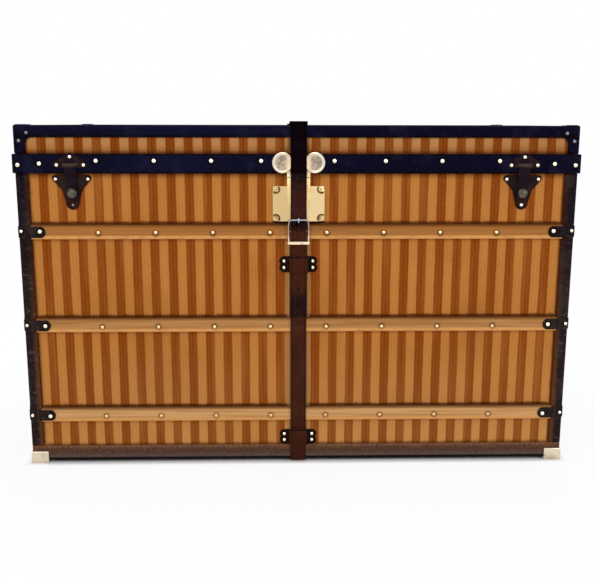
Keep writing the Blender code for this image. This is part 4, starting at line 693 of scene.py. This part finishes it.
def make_bottom_leather():
    """The bottom binding: rubbed brown along its upper edge, grey and dusty lower down, with a painted
    shadow as a black line along its lowest edge.
    """
    leather = Finish("bottom_leather", BOTTOM_BROWN, 0.55, shine=0.05)
    scuffs = leather.noise(40.0, detail=8.0)
    grit = leather.noise(260.0, detail=3.0)
    level = leather.plus(leather.z, leather.times(scuffs, 0.014))
    face = leather.tint(BOTTOM_UPPER, BOTTOM_DUSTY, leather.z, 0.024, 0.012)
    face = leather.tint(face, BOTTOM_RUBBED, level, BOTTOM_TOP - 0.003, BOTTOM_TOP + 0.008)
    face = leather.tint(face, GRIT_PALE, grit, 0.52, 0.70, 0.5)
    face = leather.tint(face, GRIT_DARK, grit, 0.46, 0.30, 0.5)
    # Painted shadow: the black line where the trunk meets the floor
    leather.colour(leather.tint(face, FLOOR_SHADOW_LINE, leather.z, 0.0132, 0.0105))
    leather.rough(leather.fade(scuffs, 0.35, 0.65, 0.45, 0.68))
    leather.bump(grit, 0.0004)
    leather.bump(scuffs, 0.0010)
    return leather.material


def make_metal(name, colour, aged, roughness, patina=0.5, dents=0.0003, metallic=1.0, shine=0.5):
    """Hammered and handled metal with patches of tarnish."""
    metal = Finish(name, colour, roughness, metallic, shine)
    clouds = metal.noise(45.0, detail=7.0)
    scratches = metal.noise(240.0, (1.0, 1.0, 0.06), 3.0)
    face = metal.tint(colour, aged, clouds, 0.45, 0.72, patina)
    metal.colour(metal.tint(face, aged, scratches, 0.60, 0.72, 0.3))
    metal.rough(metal.fade(clouds, 0.35, 0.7, roughness - 0.06, roughness + 0.18))
    metal.bump(clouds, dents)
    return metal.material


def make_buckle_metal():
    """The buckle: silvery at its upper bar and bright brass at the broad lower bar."""
    metal = Finish("buckle_metal", (0.62, 0.48, 0.36), 0.3, 1.0)
    low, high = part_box("buckle_frame")
    clouds = metal.noise(120.0, detail=5.0)
    face = metal.tint((0.52, 0.38, 0.28), (0.95, 0.80, 0.52), metal.z, low.z + 0.006, low.z + 0.003)
    face = metal.tint(face, (0.40, 0.39, 0.43), metal.z, high.z - 0.010, high.z - 0.003)
    metal.colour(metal.tint(face, (0.30, 0.21, 0.15), clouds, 0.48, 0.68, 0.4))
    metal.rough(metal.fade(clouds, 0.35, 0.7, 0.34, 0.54))
    return metal.material


def make_prong_metal():
    """The prong: dark below its tip, bright at its tip."""
    metal = Finish("prong_metal", (0.40, 0.40, 0.46), 0.3, 0.8)
    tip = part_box("buckle_prong")[1].z
    dark, bright = (0.010, 0.005, 0.005), (0.60, 0.60, 0.68)
    metal.colour(metal.tint(dark, bright, metal.z, tip - 0.010, tip - 0.006))
    return metal.material


def make_clasp_iron():
    """Japanned iron of the clasps: a painted brown highlight on the knuckle, blue-black down the tongue.
    """
    iron = Finish("clasp_iron", JAPANNED, 0.42, 0.0, 0.04)
    clouds = iron.noise(60.0, detail=7.0)
    face = iron.tint(JAPANNED, JAPANNED_WORN, clouds, 0.42, 0.66, 0.55)
    across = iron.away(iron.size(iron.x), middle_of("right_clasp_hasp").x)
    tongue = iron.times(
        iron.fade(across, 0.0130, 0.0060), iron.fade(iron.z, PARTING_Z - 0.040, PARTING_Z - 0.020)
    )
    face = iron.cover(face, (0.0055, 0.0042, 0.0100), tongue, 0.65)
    # Painted highlight: a pale brown arc along the knuckle
    above = iron.away(iron.z, PARTING_Z + KNUCKLE_RISE)
    rubbed = iron.times(iron.fade(above, 0.0050, 0.0010), iron.fade(across, 0.0170, 0.0110))
    iron.colour(iron.cover(face, (0.085, 0.052, 0.038), rubbed, 0.75))
    iron.rough(iron.fade(clouds, 0.35, 0.7, 0.36, 0.60))
    iron.bump(clouds, 0.0006)
    return iron.material


def make_boss_metal():
    """The clasps' bosses: pale in the middle from worn bare metal and a painted highlight, still dark
    round the rim.
    """
    metal = Finish("boss_metal", JAPANNED_WORN, 0.45, 0.2, 0.2)
    aside = metal.minus(metal.size(metal.x), middle_of("right_clasp_hasp").x)
    reach = metal.span(aside, metal.minus(metal.z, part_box("right_clasp_hasp")[0].z + BOSS_RISE))
    clouds = metal.noise(170.0, detail=5.0)
    ragged = metal.plus(reach, metal.times(clouds, 0.004))
    # Pale middle: worn metal and a painted highlight
    bare = metal.tint((0.125, 0.100, 0.082), (0.055, 0.040, 0.032), clouds, 0.42, 0.64)
    metal.colour(metal.tint(bare, JAPANNED, ragged, BOSS_RADIUS - 0.0030, BOSS_RADIUS + 0.0015))
    metal.bump(clouds, 0.0004)
    return metal.material


def make_nail_gold():
    """The slats' nails: bright on the highest row, duller and browner towards the floor."""
    metal = Finish("nail_gold", (0.9, 0.7, 0.4), 0.22, 1.0)
    heights = (SLAT_LEVELS[0], SLAT_LEVELS[2])
    face = metal.tint((0.72, 0.50, 0.24), (0.97, 0.80, 0.46), metal.z, *heights)
    metal.colour(metal.tint(face, (0.42, 0.24, 0.09), metal.noise(160.0), 0.48, 0.66, 0.4))
    metal.rough(metal.fade(metal.z, *heights, 0.36, 0.18))
    return metal.material


def lock_ears():
    """The middle of the lock's case, and how far its four ears lie beside and above it."""
    low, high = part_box("lock_case")
    half = (high - low) / 2
    return (low + high) / 2, half.x - LOCK_EAR_INSET, half.z - LOCK_EAR_INSET


def make_lock_brass():
    """The lock's brass, with painted shade in the groove round each of its four ears."""
    brass = Finish("lock_brass", (0.80, 0.60, 0.31), 0.30, 1.0)
    middle, ear_aside, ear_above = lock_ears()
    across = brass.minus(brass.away(brass.x, middle.x), ear_aside)
    up = brass.minus(brass.away(brass.z, middle.z), ear_above)
    # Painted shade in the step round each ear
    groove = brass.within(brass.span(across, up), (0.0042, 0.0058), (0.0094, 0.0080))
    groove = brass.times(groove, brass.fade(brass.plus(across, up), 0.0012, -0.0022))
    clouds = brass.noise(45.0, detail=7.0)
    face = brass.tint((0.70, 0.50, 0.24), (0.82, 0.62, 0.33), brass.x, -0.02, 0.02)
    face = brass.tint(face, (0.46, 0.29, 0.12), clouds, 0.45, 0.72, 0.40)
    brass.colour(brass.cover(face, (0.10, 0.035, 0.014), groove, 0.95))
    brass.rough(brass.plus(brass.fade(clouds, 0.35, 0.7, 0.24, 0.46), brass.times(groove, 0.3)))
    brass.bump(clouds, 0.0004)
    return brass.material


def make_lobe_brass():
    """Pale brass of the lock's leaf: bright rims round two dull, mottled dishes."""
    brass = Finish("lobe_brass", (0.80, 0.72, 0.60), 0.32, 1.0)
    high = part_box("lock_hinge_leaf")[1]
    across = brass.size(brass.x)
    up = brass.minus(brass.z, high.z - LOBE_RADIUS)
    reach = brass.span(brass.minus(across, high.x - LOBE_RADIUS), up)
    round_dish = brass.fade(reach, LOBE_RADIUS - 0.0040, LOBE_RADIUS - 0.0070)
    dish = brass.times(round_dish, brass.fade(across, 0.0195, 0.0270))
    clouds = brass.noise(190.0, detail=6.0)
    dull = brass.tint((0.52, 0.42, 0.29), (0.27, 0.22, 0.18), clouds, 0.40, 0.60)
    rim = brass.tint((0.84, 0.74, 0.60), (0.78, 0.63, 0.42), across, 0.0300, 0.0220)
    brass.colour(brass.blend(dish, rim, dull))
    brass.rough(brass.fade(clouds, 0.35, 0.7, 0.26, 0.46))
    brass.bump(clouds, 0.0005)
    return brass.material


CANVAS = make_canvas()
LONG_SLAT = make_slat_wood("slat_wood_long", (SLAT_STRETCH, 1.0, 1.0), "x")
SHORT_SLAT = make_slat_wood("slat_wood_short", (1.0, SLAT_STRETCH, 1.0), "y")
LONG_BOARD = make_plain_wood("board_long", (BOARD_STRETCH, 1.0, 1.0), BOARD, BOARD_GRAIN)
SHORT_BOARD = make_plain_wood("board_short", (1.0, BOARD_STRETCH, 1.0), BOARD, BOARD_GRAIN)
RUNNER_WOOD = make_plain_wood("runner_wood", (BOARD_STRETCH, 1.0, 1.0), RUNNER, RUNNER_GRAIN)
BAND = make_band_leather()
BINDING = make_binding_leather()
BOTTOM = make_bottom_leather()
STRAP = make_strap_leather("strap_leather", STRAP_BROWN, STRAP_WORN)
TAIL = make_strap_leather("strap_tail_leather", STRAP_BROWN, STRAP_WORN, holes=True)
KEEPER = make_strap_leather("keeper_leather", STRAP_BROWN, STRAP_WORN, ears=True)
DARK_STRAP = make_strap_leather("strap_leather_dark", DARK_LEATHER, DARK_WORN, shine=0.0)
BRASS = make_metal("brass", (0.76, 0.55, 0.27), (0.42, 0.26, 0.10), 0.30, 0.45)
LOCK_BRASS = make_lock_brass()
LOBE_BRASS = make_lobe_brass()
PALE_BRASS = make_metal("pale_brass", (0.74, 0.64, 0.49), (0.36, 0.28, 0.20), 0.34, 0.6)
IRON = make_metal("dark_iron", JAPANNED, JAPANNED_WORN, 0.42, 0.6, 0.0006, 0.1, 0.06)
CLASP_IRON = make_clasp_iron()
BOSS = make_boss_metal()
STEEL = make_metal("steel", (0.55, 0.55, 0.56), (0.24, 0.23, 0.22), 0.34, 0.4)
BUCKLE = make_buckle_metal()
PRONG = make_prong_metal()
NAIL_BRASS = make_metal("nail_brass", (0.98, 0.88, 0.68), (0.74, 0.56, 0.32), 0.16, 0.2, 0.0001)
NAIL_GOLD = make_nail_gold()
DULL_BRASS = make_metal("dull_brass", (0.34, 0.25, 0.17), (0.14, 0.09, 0.06), 0.45, 0.6)
DULL_STEEL = make_metal("dull_steel", (0.23, 0.21, 0.22), (0.09, 0.08, 0.09), 0.45, 0.6)
TACK_IRON = make_metal("tack_iron", (0.16, 0.085, 0.050), (0.05, 0.026, 0.018), 0.4, 0.6, 0.0001, 0.5)
DENT_AND_SHADOW = make_dent_and_shadow_leather()


def deselect():
    bpy.ops.object.select_all(action="DESELECT")


def choose(piece):
    """Select one piece alone and make it the active one."""
    deselect()
    piece.select_set(True)
    bpy.context.view_layer.objects.active = piece


def edit(piece):
    """Open one piece for editing, all of it selected."""
    choose(piece)
    bpy.ops.object.mode_set(mode="EDIT")
    bpy.ops.mesh.select_all(action="SELECT")


def done():
    bpy.ops.object.mode_set(mode="OBJECT")


def place_in_scene(name, data):
    piece = bpy.data.objects.new(name, data)
    bpy.context.scene.collection.objects.link(piece)
    return piece


def dress(piece, material, body):
    """Give a finished piece its material and the body that it rides on."""
    piece.data.materials.clear()
    piece.data.materials.append(material)
    if body:
        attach(piece, body)
    return piece


def trace(node, name):
    """A copy of a CAD solid, its triangles joined up and its flat faces made whole."""
    piece = place_in_scene(name, frame["nodes"][node].data.copy())
    edit(piece)
    bpy.ops.mesh.remove_doubles(threshold=JOIN_WITHIN)
    bpy.ops.mesh.dissolve_limited(angle_limit=math.radians(FLAT_ANGLE))
    bpy.ops.mesh.select_all(action="SELECT")
    bpy.ops.mesh.normals_make_consistent(inside=False)
    done()
    return piece


def smooth(piece, angle=SMOOTH_ANGLE):
    choose(piece)
    bpy.ops.object.shade_smooth_by_angle(angle=math.radians(angle))


def soften(piece, width):
    """Round a piece's sharp edges."""
    bevel = piece.modifiers.new("rounded", "BEVEL")
    bevel.width = width
    bevel.segments = EDGE_SEGMENTS
    bevel.limit_method = "ANGLE"
    bevel.angle_limit = math.radians(SHARP_ANGLE)
    bevel.harden_normals = False
    choose(piece)
    bpy.ops.object.modifier_apply(modifier=bevel.name)


def body_of_node(node):
    return frame["nodes"][node]["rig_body"]


def refine(node, suffix, material, width, ride=True, shape=None):
    """The finished piece that stands for a CAD node; shape works on it before its edges are
    rounded."""
    piece = trace(node, f"{node}_{suffix}")
    if shape:
        shape(piece)
    if width:
        soften(piece, width)
    smooth(piece)
    dress(piece, material, body_of_node(node) if ride else None)
    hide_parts(node)
    return piece


def shift_points(piece, chosen, step):
    """Move by one step the points of a piece that a test chooses."""
    edit(piece)
    bpy.ops.mesh.select_all(action="DESELECT")
    done()
    for point in piece.data.vertices:
        point.select = chosen(point.co)
    bpy.ops.object.mode_set(mode="EDIT")
    bpy.ops.transform.translate(value=step)
    done()


def tighten(piece, inset):
    """Draw a piece's two outermost ends inwards by a small amount."""
    reach = max(point.co.x for point in piece.data.vertices) - inset
    for side in (-1, 1):
        shift_points(piece, lambda place: side * place.x > reach, (-side * inset, 0, 0))


def lengthen_tail(piece):
    """Draw the tail's upper end up to the strap above it, so that no light shows between."""
    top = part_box("strap_tail")[1].z
    shift_points(piece, lambda place: place.z > top - 0.0001, (0, 0, TAIL_LONGER))


def seat_keeper(piece):
    """Let the top keeper's bridge down on the strap, so that no light shows between."""
    strap_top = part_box("strap_upper")[1].z
    roof = min(point.co.z for point in piece.data.vertices if point.co.z > strap_top)
    shift_points(piece, lambda place: abs(place.z - roof) < 0.00005, (0, 0, strap_top - roof + SEAT_GAP))


def wear_ends(piece, radius, edges):
    """Wear the edges at a piece's two ends round; edges names the upper or lower ones."""
    points = [point.co.copy() for point in piece.data.vertices]
    end = max(point.x for point in points)
    for edge in edges:
        level = max(point.z for point in points) if edge > 0 else min(point.z for point in points)
        for side in (-1, 1):
            centre = Vector((side * (end - radius), 0, level - edge * radius))
            for angle in WEAR_ANGLES:
                turn = math.radians(angle)
                outward = Vector((side * math.cos(turn), 0, edge * math.sin(turn)))
                edit(piece)
                bpy.ops.mesh.bisect(
                    plane_co=centre + radius * outward, plane_no=outward, clear_outer=True, use_fill=True
                )
                done()


def finish_binding(node, inset, radius, edges):
    """A binding of the lid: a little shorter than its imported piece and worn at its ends."""
    def shape(piece):
        tighten(piece, inset)
        wear_ends(piece, radius, edges)

    refine(node, "leather", BAND, LEATHER_EDGE, shape=shape)


def lay_pattern(piece):
    """A UV map in metres: across the stripes, and along them."""
    layer = piece.data.uv_layers.new(name="stripes")
    for face in piece.data.polygons:
        sideways = abs(face.normal.x) > FACING
        flat = abs(face.normal.z) > FACING
        for corner in face.loop_indices:
            point = piece.data.vertices[piece.data.loops[corner].vertex_index].co
            across = point.y if sideways else point.x
            along = point.y if flat else point.z
            layer.data[corner].uv = (across, along)


def repaint(material, *nodes):
    """Keep some CAD nodes and give them a procedural material."""
    for node in nodes:
        mesh = frame["nodes"][node].data
        mesh.materials.clear()
        mesh.materials.append(material)


def dome(radius, height, segments):
    """One nail head: the upper half of a sphere, pressed flatter."""
    deselect()
    bpy.ops.mesh.primitive_uv_sphere_add(segments=segments, ring_count=segments // 2, radius=radius)
    head = bpy.context.object
    edit(head)
    bpy.ops.mesh.bisect(plane_co=(0, 0, 0), plane_no=(0, 0, 1), clear_inner=True, use_fill=True)
    bpy.ops.mesh.select_all(action="SELECT")
    bpy.ops.transform.resize(value=(1, 1, height / radius), center_override=(0, 0, 0))
    done()
    smooth(head, DOME_ANGLE)
    return head


def mark(radius):
    """The dark ring under a nail: pressed leather, and the nail's painted shadow."""
    deselect()
    bpy.ops.mesh.primitive_cylinder_add(vertices=18, radius=radius, depth=MARK_THICK)
    return bpy.context.object


def copies(name, pattern, places):
    """Copies of a pattern, one at each (point, outward direction), joined in one piece."""
    made = []
    for point, outward in places:
        mesh = pattern.data.copy()
        turn = Vector(outward).to_track_quat("Z", "Y").to_matrix().to_4x4()
        mesh.transform(Matrix.Translation(Vector(point)) @ turn)
        made.append(place_in_scene(name, mesh))
    choose(made[0])
    for piece in made:
        piece.select_set(True)
    if len(made) > 1:
        bpy.ops.object.join()
    made[0].name = name
    return made[0]


def drive(name, head, places, material, body, ring=None):
    """One group of nail heads as one piece, with a dark ring of pressed leather and painted shadow under
    each where wanted.
    """
    dress(copies(name, head, places), material, body)
    if ring:
        flat = [(Vector(point) + Vector(outward) * NAIL_SINK, outward) for point, outward in places]
        dress(copies(f"{name}_rings", ring, flat), DENT_AND_SHADOW, body)


def on_side(side, along, up, depth):
    """A point on one of the four sides, and the direction out of it; along runs to the right
    as seen from that side."""
    return {
        "front": ((along, -depth, up), (0, -1, 0)),
        "back": ((-along, depth, up), (0, 1, 0)),
        "left": ((-depth, -along, up), (-1, 0, 0)),
        "right": ((depth, along, up), (1, 0, 0)),
    }[side]


def four_on_side(side, up, aside, above, depth):
    """Four places in a rectangle round the point at height up in the middle of a side."""
    return [
        on_side(side, across * aside, up + rise * above, depth) for across in (-1, 1) for rise in (-1, 1)
    ]


def depth_of(node, side):
    """How far a node reaches out of one of the four sides."""
    low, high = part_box(node)
    return {"front": -low.y, "back": high.y, "left": -low.x, "right": high.x}[side]


def half_width(node, side):
    """Half the width of a side, as one node bounds it."""
    return depth_of(node, "left" if side in FACES else "front")


def in_leather(material, slot, *nodes, edge=LEATHER_EDGE):
    for node in nodes:
        refine(node, "leather", material, edge)


def in_metal(material, slot, *nodes, edge=METAL_EDGE):
    for node in nodes:
        refine(node, "metal", material, edge)


def finish_nodes():
    """Every CAD node: kept with a better material, or replaced by a finished piece."""
    repaint(LONG_BOARD, "body_front_board", "body_back_board", "body_bottom_board")
    repaint(LONG_BOARD, "lid_frame", "lid_top_board")
    repaint(SHORT_BOARD, "body_left_board", "body_right_board")
    for row in ROWS:
        repaint(LONG_SLAT, f"front_slat_{row}", f"back_slat_{row}")
        repaint(SHORT_SLAT, f"left_slat_{row}", f"right_slat_{row}")
    for face in FACES:
        repaint(RUNNER_WOOD, f"{face}_bottom_runner")
        for end in ENDS:
            in_leather(BINDING, "binding_leather", f"{face}_{end}_corner_binding")
            in_metal(PALE_BRASS, "pale_brass", f"{face}_{end}_corner_shoe", edge=THIN_EDGE)
    for node in ("body_canvas", "lid_canvas"):
        lay_pattern(refine(node, "cover", CANVAS, CANVAS_EDGE))
    in_leather(BOTTOM, "bottom_leather", "bottom_binding", edge=THIN_EDGE)
    finish_binding("lid_top_binding", CAP_END_INSET, CAP_END_RADIUS, (1,))
    finish_binding("lid_rim_band", BAND_END_INSET, BAND_END_RADIUS, (-1, 1))
    in_leather(STRAP, "strap_leather", "strap_lower")
    in_leather(KEEPER, "strap_leather", "strap_keeper_upper", "strap_keeper_lower")
    in_leather(DARK_STRAP, "strap_leather", "strap_upper")
    refine("strap_keeper_top", "leather", DARK_STRAP, LEATHER_EDGE, shape=seat_keeper)
    in_metal(LOCK_BRASS, "brass", "lock_case", edge=0.0)
    in_metal(BRASS, "brass", "lock_hasp")
    in_metal(LOBE_BRASS, "pale_brass", "lock_hinge_leaf")
    in_metal(STEEL, "steel", "lock_bolt")
    in_metal(BUCKLE, "brass", "buckle_frame", edge=0.0)
    in_metal(PRONG, "brass", "buckle_prong", edge=0.0)
    for end in ENDS:
        for node in ("clasp_lid_plate", "clasp_body_plate", "clasp_hasp"):
            in_metal(CLASP_IRON, "dark_iron", f"{end}_{node}")
        for node in ("hinge_body_leaf", "hinge_lid_leaf", "handle_mount"):
            in_metal(IRON, "dark_iron", f"{end}_{node}")
        in_leather(BINDING, "binding_leather", f"{end}_handle_grip", edge=0.0)


def finish_tail():
    """The strap's tail: punched with holes."""
    tail = refine(
        "strap_tail", "leather", TAIL, LEATHER_EDGE, ride=False, shape=lengthen_tail
    )
    lay_pattern(tail)
    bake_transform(tail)


def nail_slats_and_clamps(nail, big_nail, ring, small_ring):
    """The nails along every slat, on the leather clamps over its ends and on their edges."""
    for side in SIDES:
        reaches = SIDE_NAIL_PAIRS if side in FACES else END_NAIL_PAIRS
        face = depth_of(f"{side}_slat_low", side) - NAIL_SINK
        half = half_width("body_canvas", side)
        canvas = depth_of("body_canvas", side) - NAIL_SINK
        slat_places = []
        clamp_places = []
        edge_places = []
        for level, rise, clamp_rise in zip(SLAT_LEVELS, NAIL_RISES, CLAMP_NAIL_RISES):
            for step in range(-reaches, reaches):
                slat_places.append(on_side(side, (step + 0.5) * NAIL_PITCH, level + rise, face))
            for sign in (-1, 1):
                clamp_x = sign * (half - CLAMP_NAIL_INSET)
                edge_x = sign * (half - EDGE_NAIL_INSET)
                clamp_places.append(on_side(side, clamp_x, level + clamp_rise, canvas + CLAMP_PROUD))
                edge_places.append(on_side(side, edge_x, level + clamp_rise, canvas + CLAMP_EDGE_PROUD))
        drive(f"{side}_slat_nails", nail, slat_places, NAIL_GOLD, "body")
        drive(f"{side}_clamp_nails", big_nail, clamp_places, NAIL_BRASS, "body", ring)
        drive(f"{side}_edge_nails", nail, edge_places, NAIL_BRASS, "body", small_ring)


def nail_lid(big_nail, dull_nail, ring):
    """The nails along the rim band and on its corner clamps, and those of the corner caps."""
    cap_places = []
    cap_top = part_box("lid_top_binding")[1].z
    for side in SIDES:
        band_inset, cap_inset = (BAND_END_INSET, CAP_END_INSET) if side in ENDS else (0.0, 0.0)
        face = depth_of("lid_rim_band", side) - NAIL_SINK - band_inset
        half = half_width("lid_rim_band", side)
        level = PARTING_Z + BAND_NAIL_RISE
        places = [on_side(side, along, level, face - BAND_CLAMP_PROUD) for along in BAND_NAILS[side]]
        cap_face = depth_of("lid_top_binding", side) - NAIL_SINK - cap_inset
        cap_half = half_width("lid_top_binding", side)
        for sign in (-1, 1):
            for aside, rise in CORNER_NAILS:
                places.append(on_side(side, sign * (half - aside), PARTING_Z + rise, face))
            for aside, drop in CAP_NAILS:
                cap_places.append(on_side(side, sign * (cap_half - aside), cap_top - drop, cap_face))
        drive(f"{side}_band_nails", big_nail, places, NAIL_BRASS, "lid", ring)
    drive("lid_corner_cap_nails", dull_nail, cap_places, DULL_STEEL, "lid")


def nail_fittings(nail, rivet):
    """Nails and rivets of the clasps, the keepers, the lock, the handles and the hinges."""
    canvas = {side: depth_of("body_canvas", side) for side in SIDES}
    band = depth_of("lid_rim_band", "front") - BAND_CLAMP_PROUD
    on_leaf = canvas["front"] + LEAF_PROUD
    on_keeper = canvas["front"] + KEEPER_PROUD
    lid_places = []
    body_places = []
    for end in ENDS:
        clasp = middle_of(f"{end}_clasp_body_plate").x
        for across, rise in CLASP_LID_NAILS:
            lid_places.append(on_side("front", clasp + across, PARTING_Z + rise, band + LEAF_PROUD))
        for across, rise in CLASP_BODY_NAILS:
            body_places.append(on_side("front", clasp + across, PARTING_Z + rise, on_leaf))
    for node in ("strap_keeper_upper", "strap_keeper_lower"):
        body_places += four_on_side("front", middle_of(node).z, *KEEPER_NAILS, on_keeper)

    middle, ear_aside, ear_above = lock_ears()
    ears = four_on_side("front", middle.z, ear_aside, ear_above, canvas["front"] + LOCK_EAR_PROUD)
    drive("lock_rivets", rivet, ears, BRASS, "body")

    iron_places = []
    hinge_lid_places = []
    for end in ENDS:
        clasp = middle_of(f"{end}_clasp_body_plate").x
        # The left clasp's lowest nail is dull like the rivets, the right one's is bright
        at_tip = iron_places if end == "left" else body_places
        at_tip.append(on_side("front", clasp, PARTING_Z - CLASP_TIP_DROP, on_leaf))
        mount = middle_of(f"{end}_handle_mount")
        iron_places += four_on_side(end, mount.z, *HANDLE_RIVETS, canvas[end] + PLATE_PROUD)
        hinge = -middle_of(f"{end}_hinge_body_leaf").x
        for along in (hinge - HINGE_RIVETS_ASIDE, hinge + HINGE_RIVETS_ASIDE):
            for drop in HINGE_BODY_DROPS:
                iron_places.append(on_side("back", along, PARTING_Z - drop, canvas["back"] + PLATE_PROUD))
            on_lid = on_side("back", along, PARTING_Z + HINGE_LID_RISE, band + PLATE_PROUD)
            hinge_lid_places.append(on_lid)
    drive("clasp_lid_nails", nail, lid_places, NAIL_BRASS, "lid")
    drive("front_fitting_nails", nail, body_places, NAIL_BRASS, "body")
    drive("body_fitting_rivets", rivet, iron_places, DULL_BRASS, "body")
    drive("hinge_lid_rivets", rivet, hinge_lid_places, DULL_BRASS, "lid")


def nail_bottom(tack):
    """The row of tacks along the bottom binding, open where the strap passes."""
    places = []
    for side in SIDES:
        half = half_width("bottom_binding", side) - TACK_CORNER_GAP
        face = depth_of("bottom_binding", side) - NAIL_SINK
        count = int(2 * half / TACK_PITCH)
        for step in range(count + 1):
            along = -half + 2 * half * step / count
            if abs(along) > TACK_STRAP_GAP or side in ENDS:
                places.append(on_side(side, along, BOTTOM_TOP - TACK_DROP, face))
    drive("bottom_binding_tacks", tack, places, TACK_IRON, "body")


def place_nails():
    nail = dome(NAIL_RADIUS, NAIL_HEIGHT, 14)
    big_nail = dome(BIG_NAIL_RADIUS, NAIL_HEIGHT, 16)
    rivet = dome(RIVET_RADIUS, RIVET_HEIGHT, 12)
    tack = dome(TACK_RADIUS, TACK_HEIGHT, 8)
    ring = mark(BIG_NAIL_RADIUS + MARK_WIDER)
    small_ring = mark(NAIL_RADIUS + SMALL_MARK_WIDER)
    nail_slats_and_clamps(nail, big_nail, ring, small_ring)
    nail_lid(big_nail, nail, ring)
    nail_fittings(nail, rivet)
    nail_bottom(tack)
    for pattern in (nail, big_nail, rivet, tack, ring, small_ring):
        bpy.data.objects.remove(pattern, do_unlink=True)


def place_bosses():
    """The round boss in the middle of each clasp's tongue."""
    boss = dome(BOSS_RADIUS, BOSS_HEIGHT, 24)
    for end in ENDS:
        node = f"{end}_clasp_hasp"
        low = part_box(node)[0]
        point = (middle_of(node).x, low.y + TONGUE_BACK, low.z + BOSS_RISE)
        piece = copies(f"{end}_clasp_boss", boss, [(point, (0, -1, 0))])
        dress(piece, BOSS, body_of_node(node))
    bpy.data.objects.remove(boss, do_unlink=True)


finish_nodes()
finish_tail()
place_nails()
place_bosses()


def seen_by(tree, *rays):
    """1 for the named kinds of ray, 0 for all others."""
    path = tree.nodes.new("ShaderNodeLightPath")
    share = path.outputs[rays[0]]
    for ray in rays[1:]:
        either = tree.nodes.new("ShaderNodeMath")
        either.operation = "MAXIMUM"
        tree.links.new(share, either.inputs[0])
        tree.links.new(path.outputs[ray], either.inputs[1])
        share = either.outputs[0]
    return share


def mix_shaders(tree, share, first, second, output):
    """Show the first shader where the share is 0 and the second where it is 1."""
    mix = tree.nodes.new("ShaderNodeMixShader")
    for source, socket in zip((share, first.outputs[0], second.outputs[0]), mix.inputs):
        tree.links.new(source, socket)
    tree.links.new(mix.outputs[0], tree.nodes[output].inputs["Surface"])


def lay_floor():
    """A plain pale floor that glows white to the camera, but for a narrow shade by the trunk."""
    deselect()
    bpy.ops.mesh.primitive_plane_add(size=FLOOR_SIZE, location=(0, 0, 0))
    floor = bpy.context.object
    floor.name = "floor"
    ground = Finish("floor", (0.86, 0.86, 0.86), 0.9, shine=0.2)
    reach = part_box("bottom_binding")[1]
    beside = ground.minus(ground.size(ground.x), reach.x)
    ahead = ground.minus(ground.size(ground.y), reach.y)
    away = ground.largest(beside, ahead)
    share = ground.plus(ground.fade(away, 0.0, 0.018, 0.0, 0.90), ground.fade(away, 0.1, 1.1, 0.0, 0.10))
    glow = ground.tree.nodes.new("ShaderNodeEmission")
    glow.inputs["Color"].default_value = WHITE
    seen = seen_by(ground.tree, "Is Camera Ray", "Is Glossy Ray")
    mix_shaders(ground.tree, ground.times(seen, share), ground.shader, glow, "Material Output")
    floor.data.materials.append(ground.material)


def light_world():
    """Even light all round, and a white backdrop where the camera looks past the trunk."""
    world = bpy.data.worlds.new("studio")
    bpy.context.scene.world = world
    world.use_nodes = True
    tree = world.node_tree
    light = tree.nodes["Background"]
    backdrop = tree.nodes.new("ShaderNodeBackground")
    for node, strength in ((light, STUDIO_LIGHT), (backdrop, 1.0)):
        node.inputs["Color"].default_value = WHITE
        node.inputs["Strength"].default_value = strength
    seen = seen_by(tree, "Is Camera Ray", "Is Glossy Ray", "Is Transmission Ray")
    mix_shaders(tree, seen, light, backdrop, "World Output")


def hang_lamps():
    """Soft round lamps, all turned to the trunk's middle."""
    for name, (place, size, power) in LAMPS.items():
        data = bpy.data.lights.new(name, "AREA")
        data.shape = "DISK"
        data.size = size
        data.energy = power
        lamp = place_in_scene(name, data)
        lamp.location = place
        lamp.rotation_mode = "QUATERNION"
        lamp.rotation_quaternion = (Vector(LAMP_AIM) - Vector(place)).to_track_quat("-Z", "Y")


def set_camera():
    """The photograph's camera."""
    data = bpy.data.cameras.new("camera")
    data.lens = CAMERA_LENS
    data.sensor_width = SENSOR_WIDTH
    camera = place_in_scene("camera", data)
    camera.matrix_world = (
        Matrix.Translation(Vector(CAMERA_PLACE))
        @ Matrix.Rotation(math.radians(CAMERA_TURN), 4, "Z")
        @ Matrix.Rotation(math.radians(90 - CAMERA_DOWN), 4, "X")
        @ Matrix.Rotation(math.radians(CAMERA_ROLL), 4, "Z")
    )
    bpy.context.scene.camera = camera
    bpy.context.scene.view_settings.view_transform = "Standard"


lay_floor()
light_world()
hang_lamps()
set_camera()
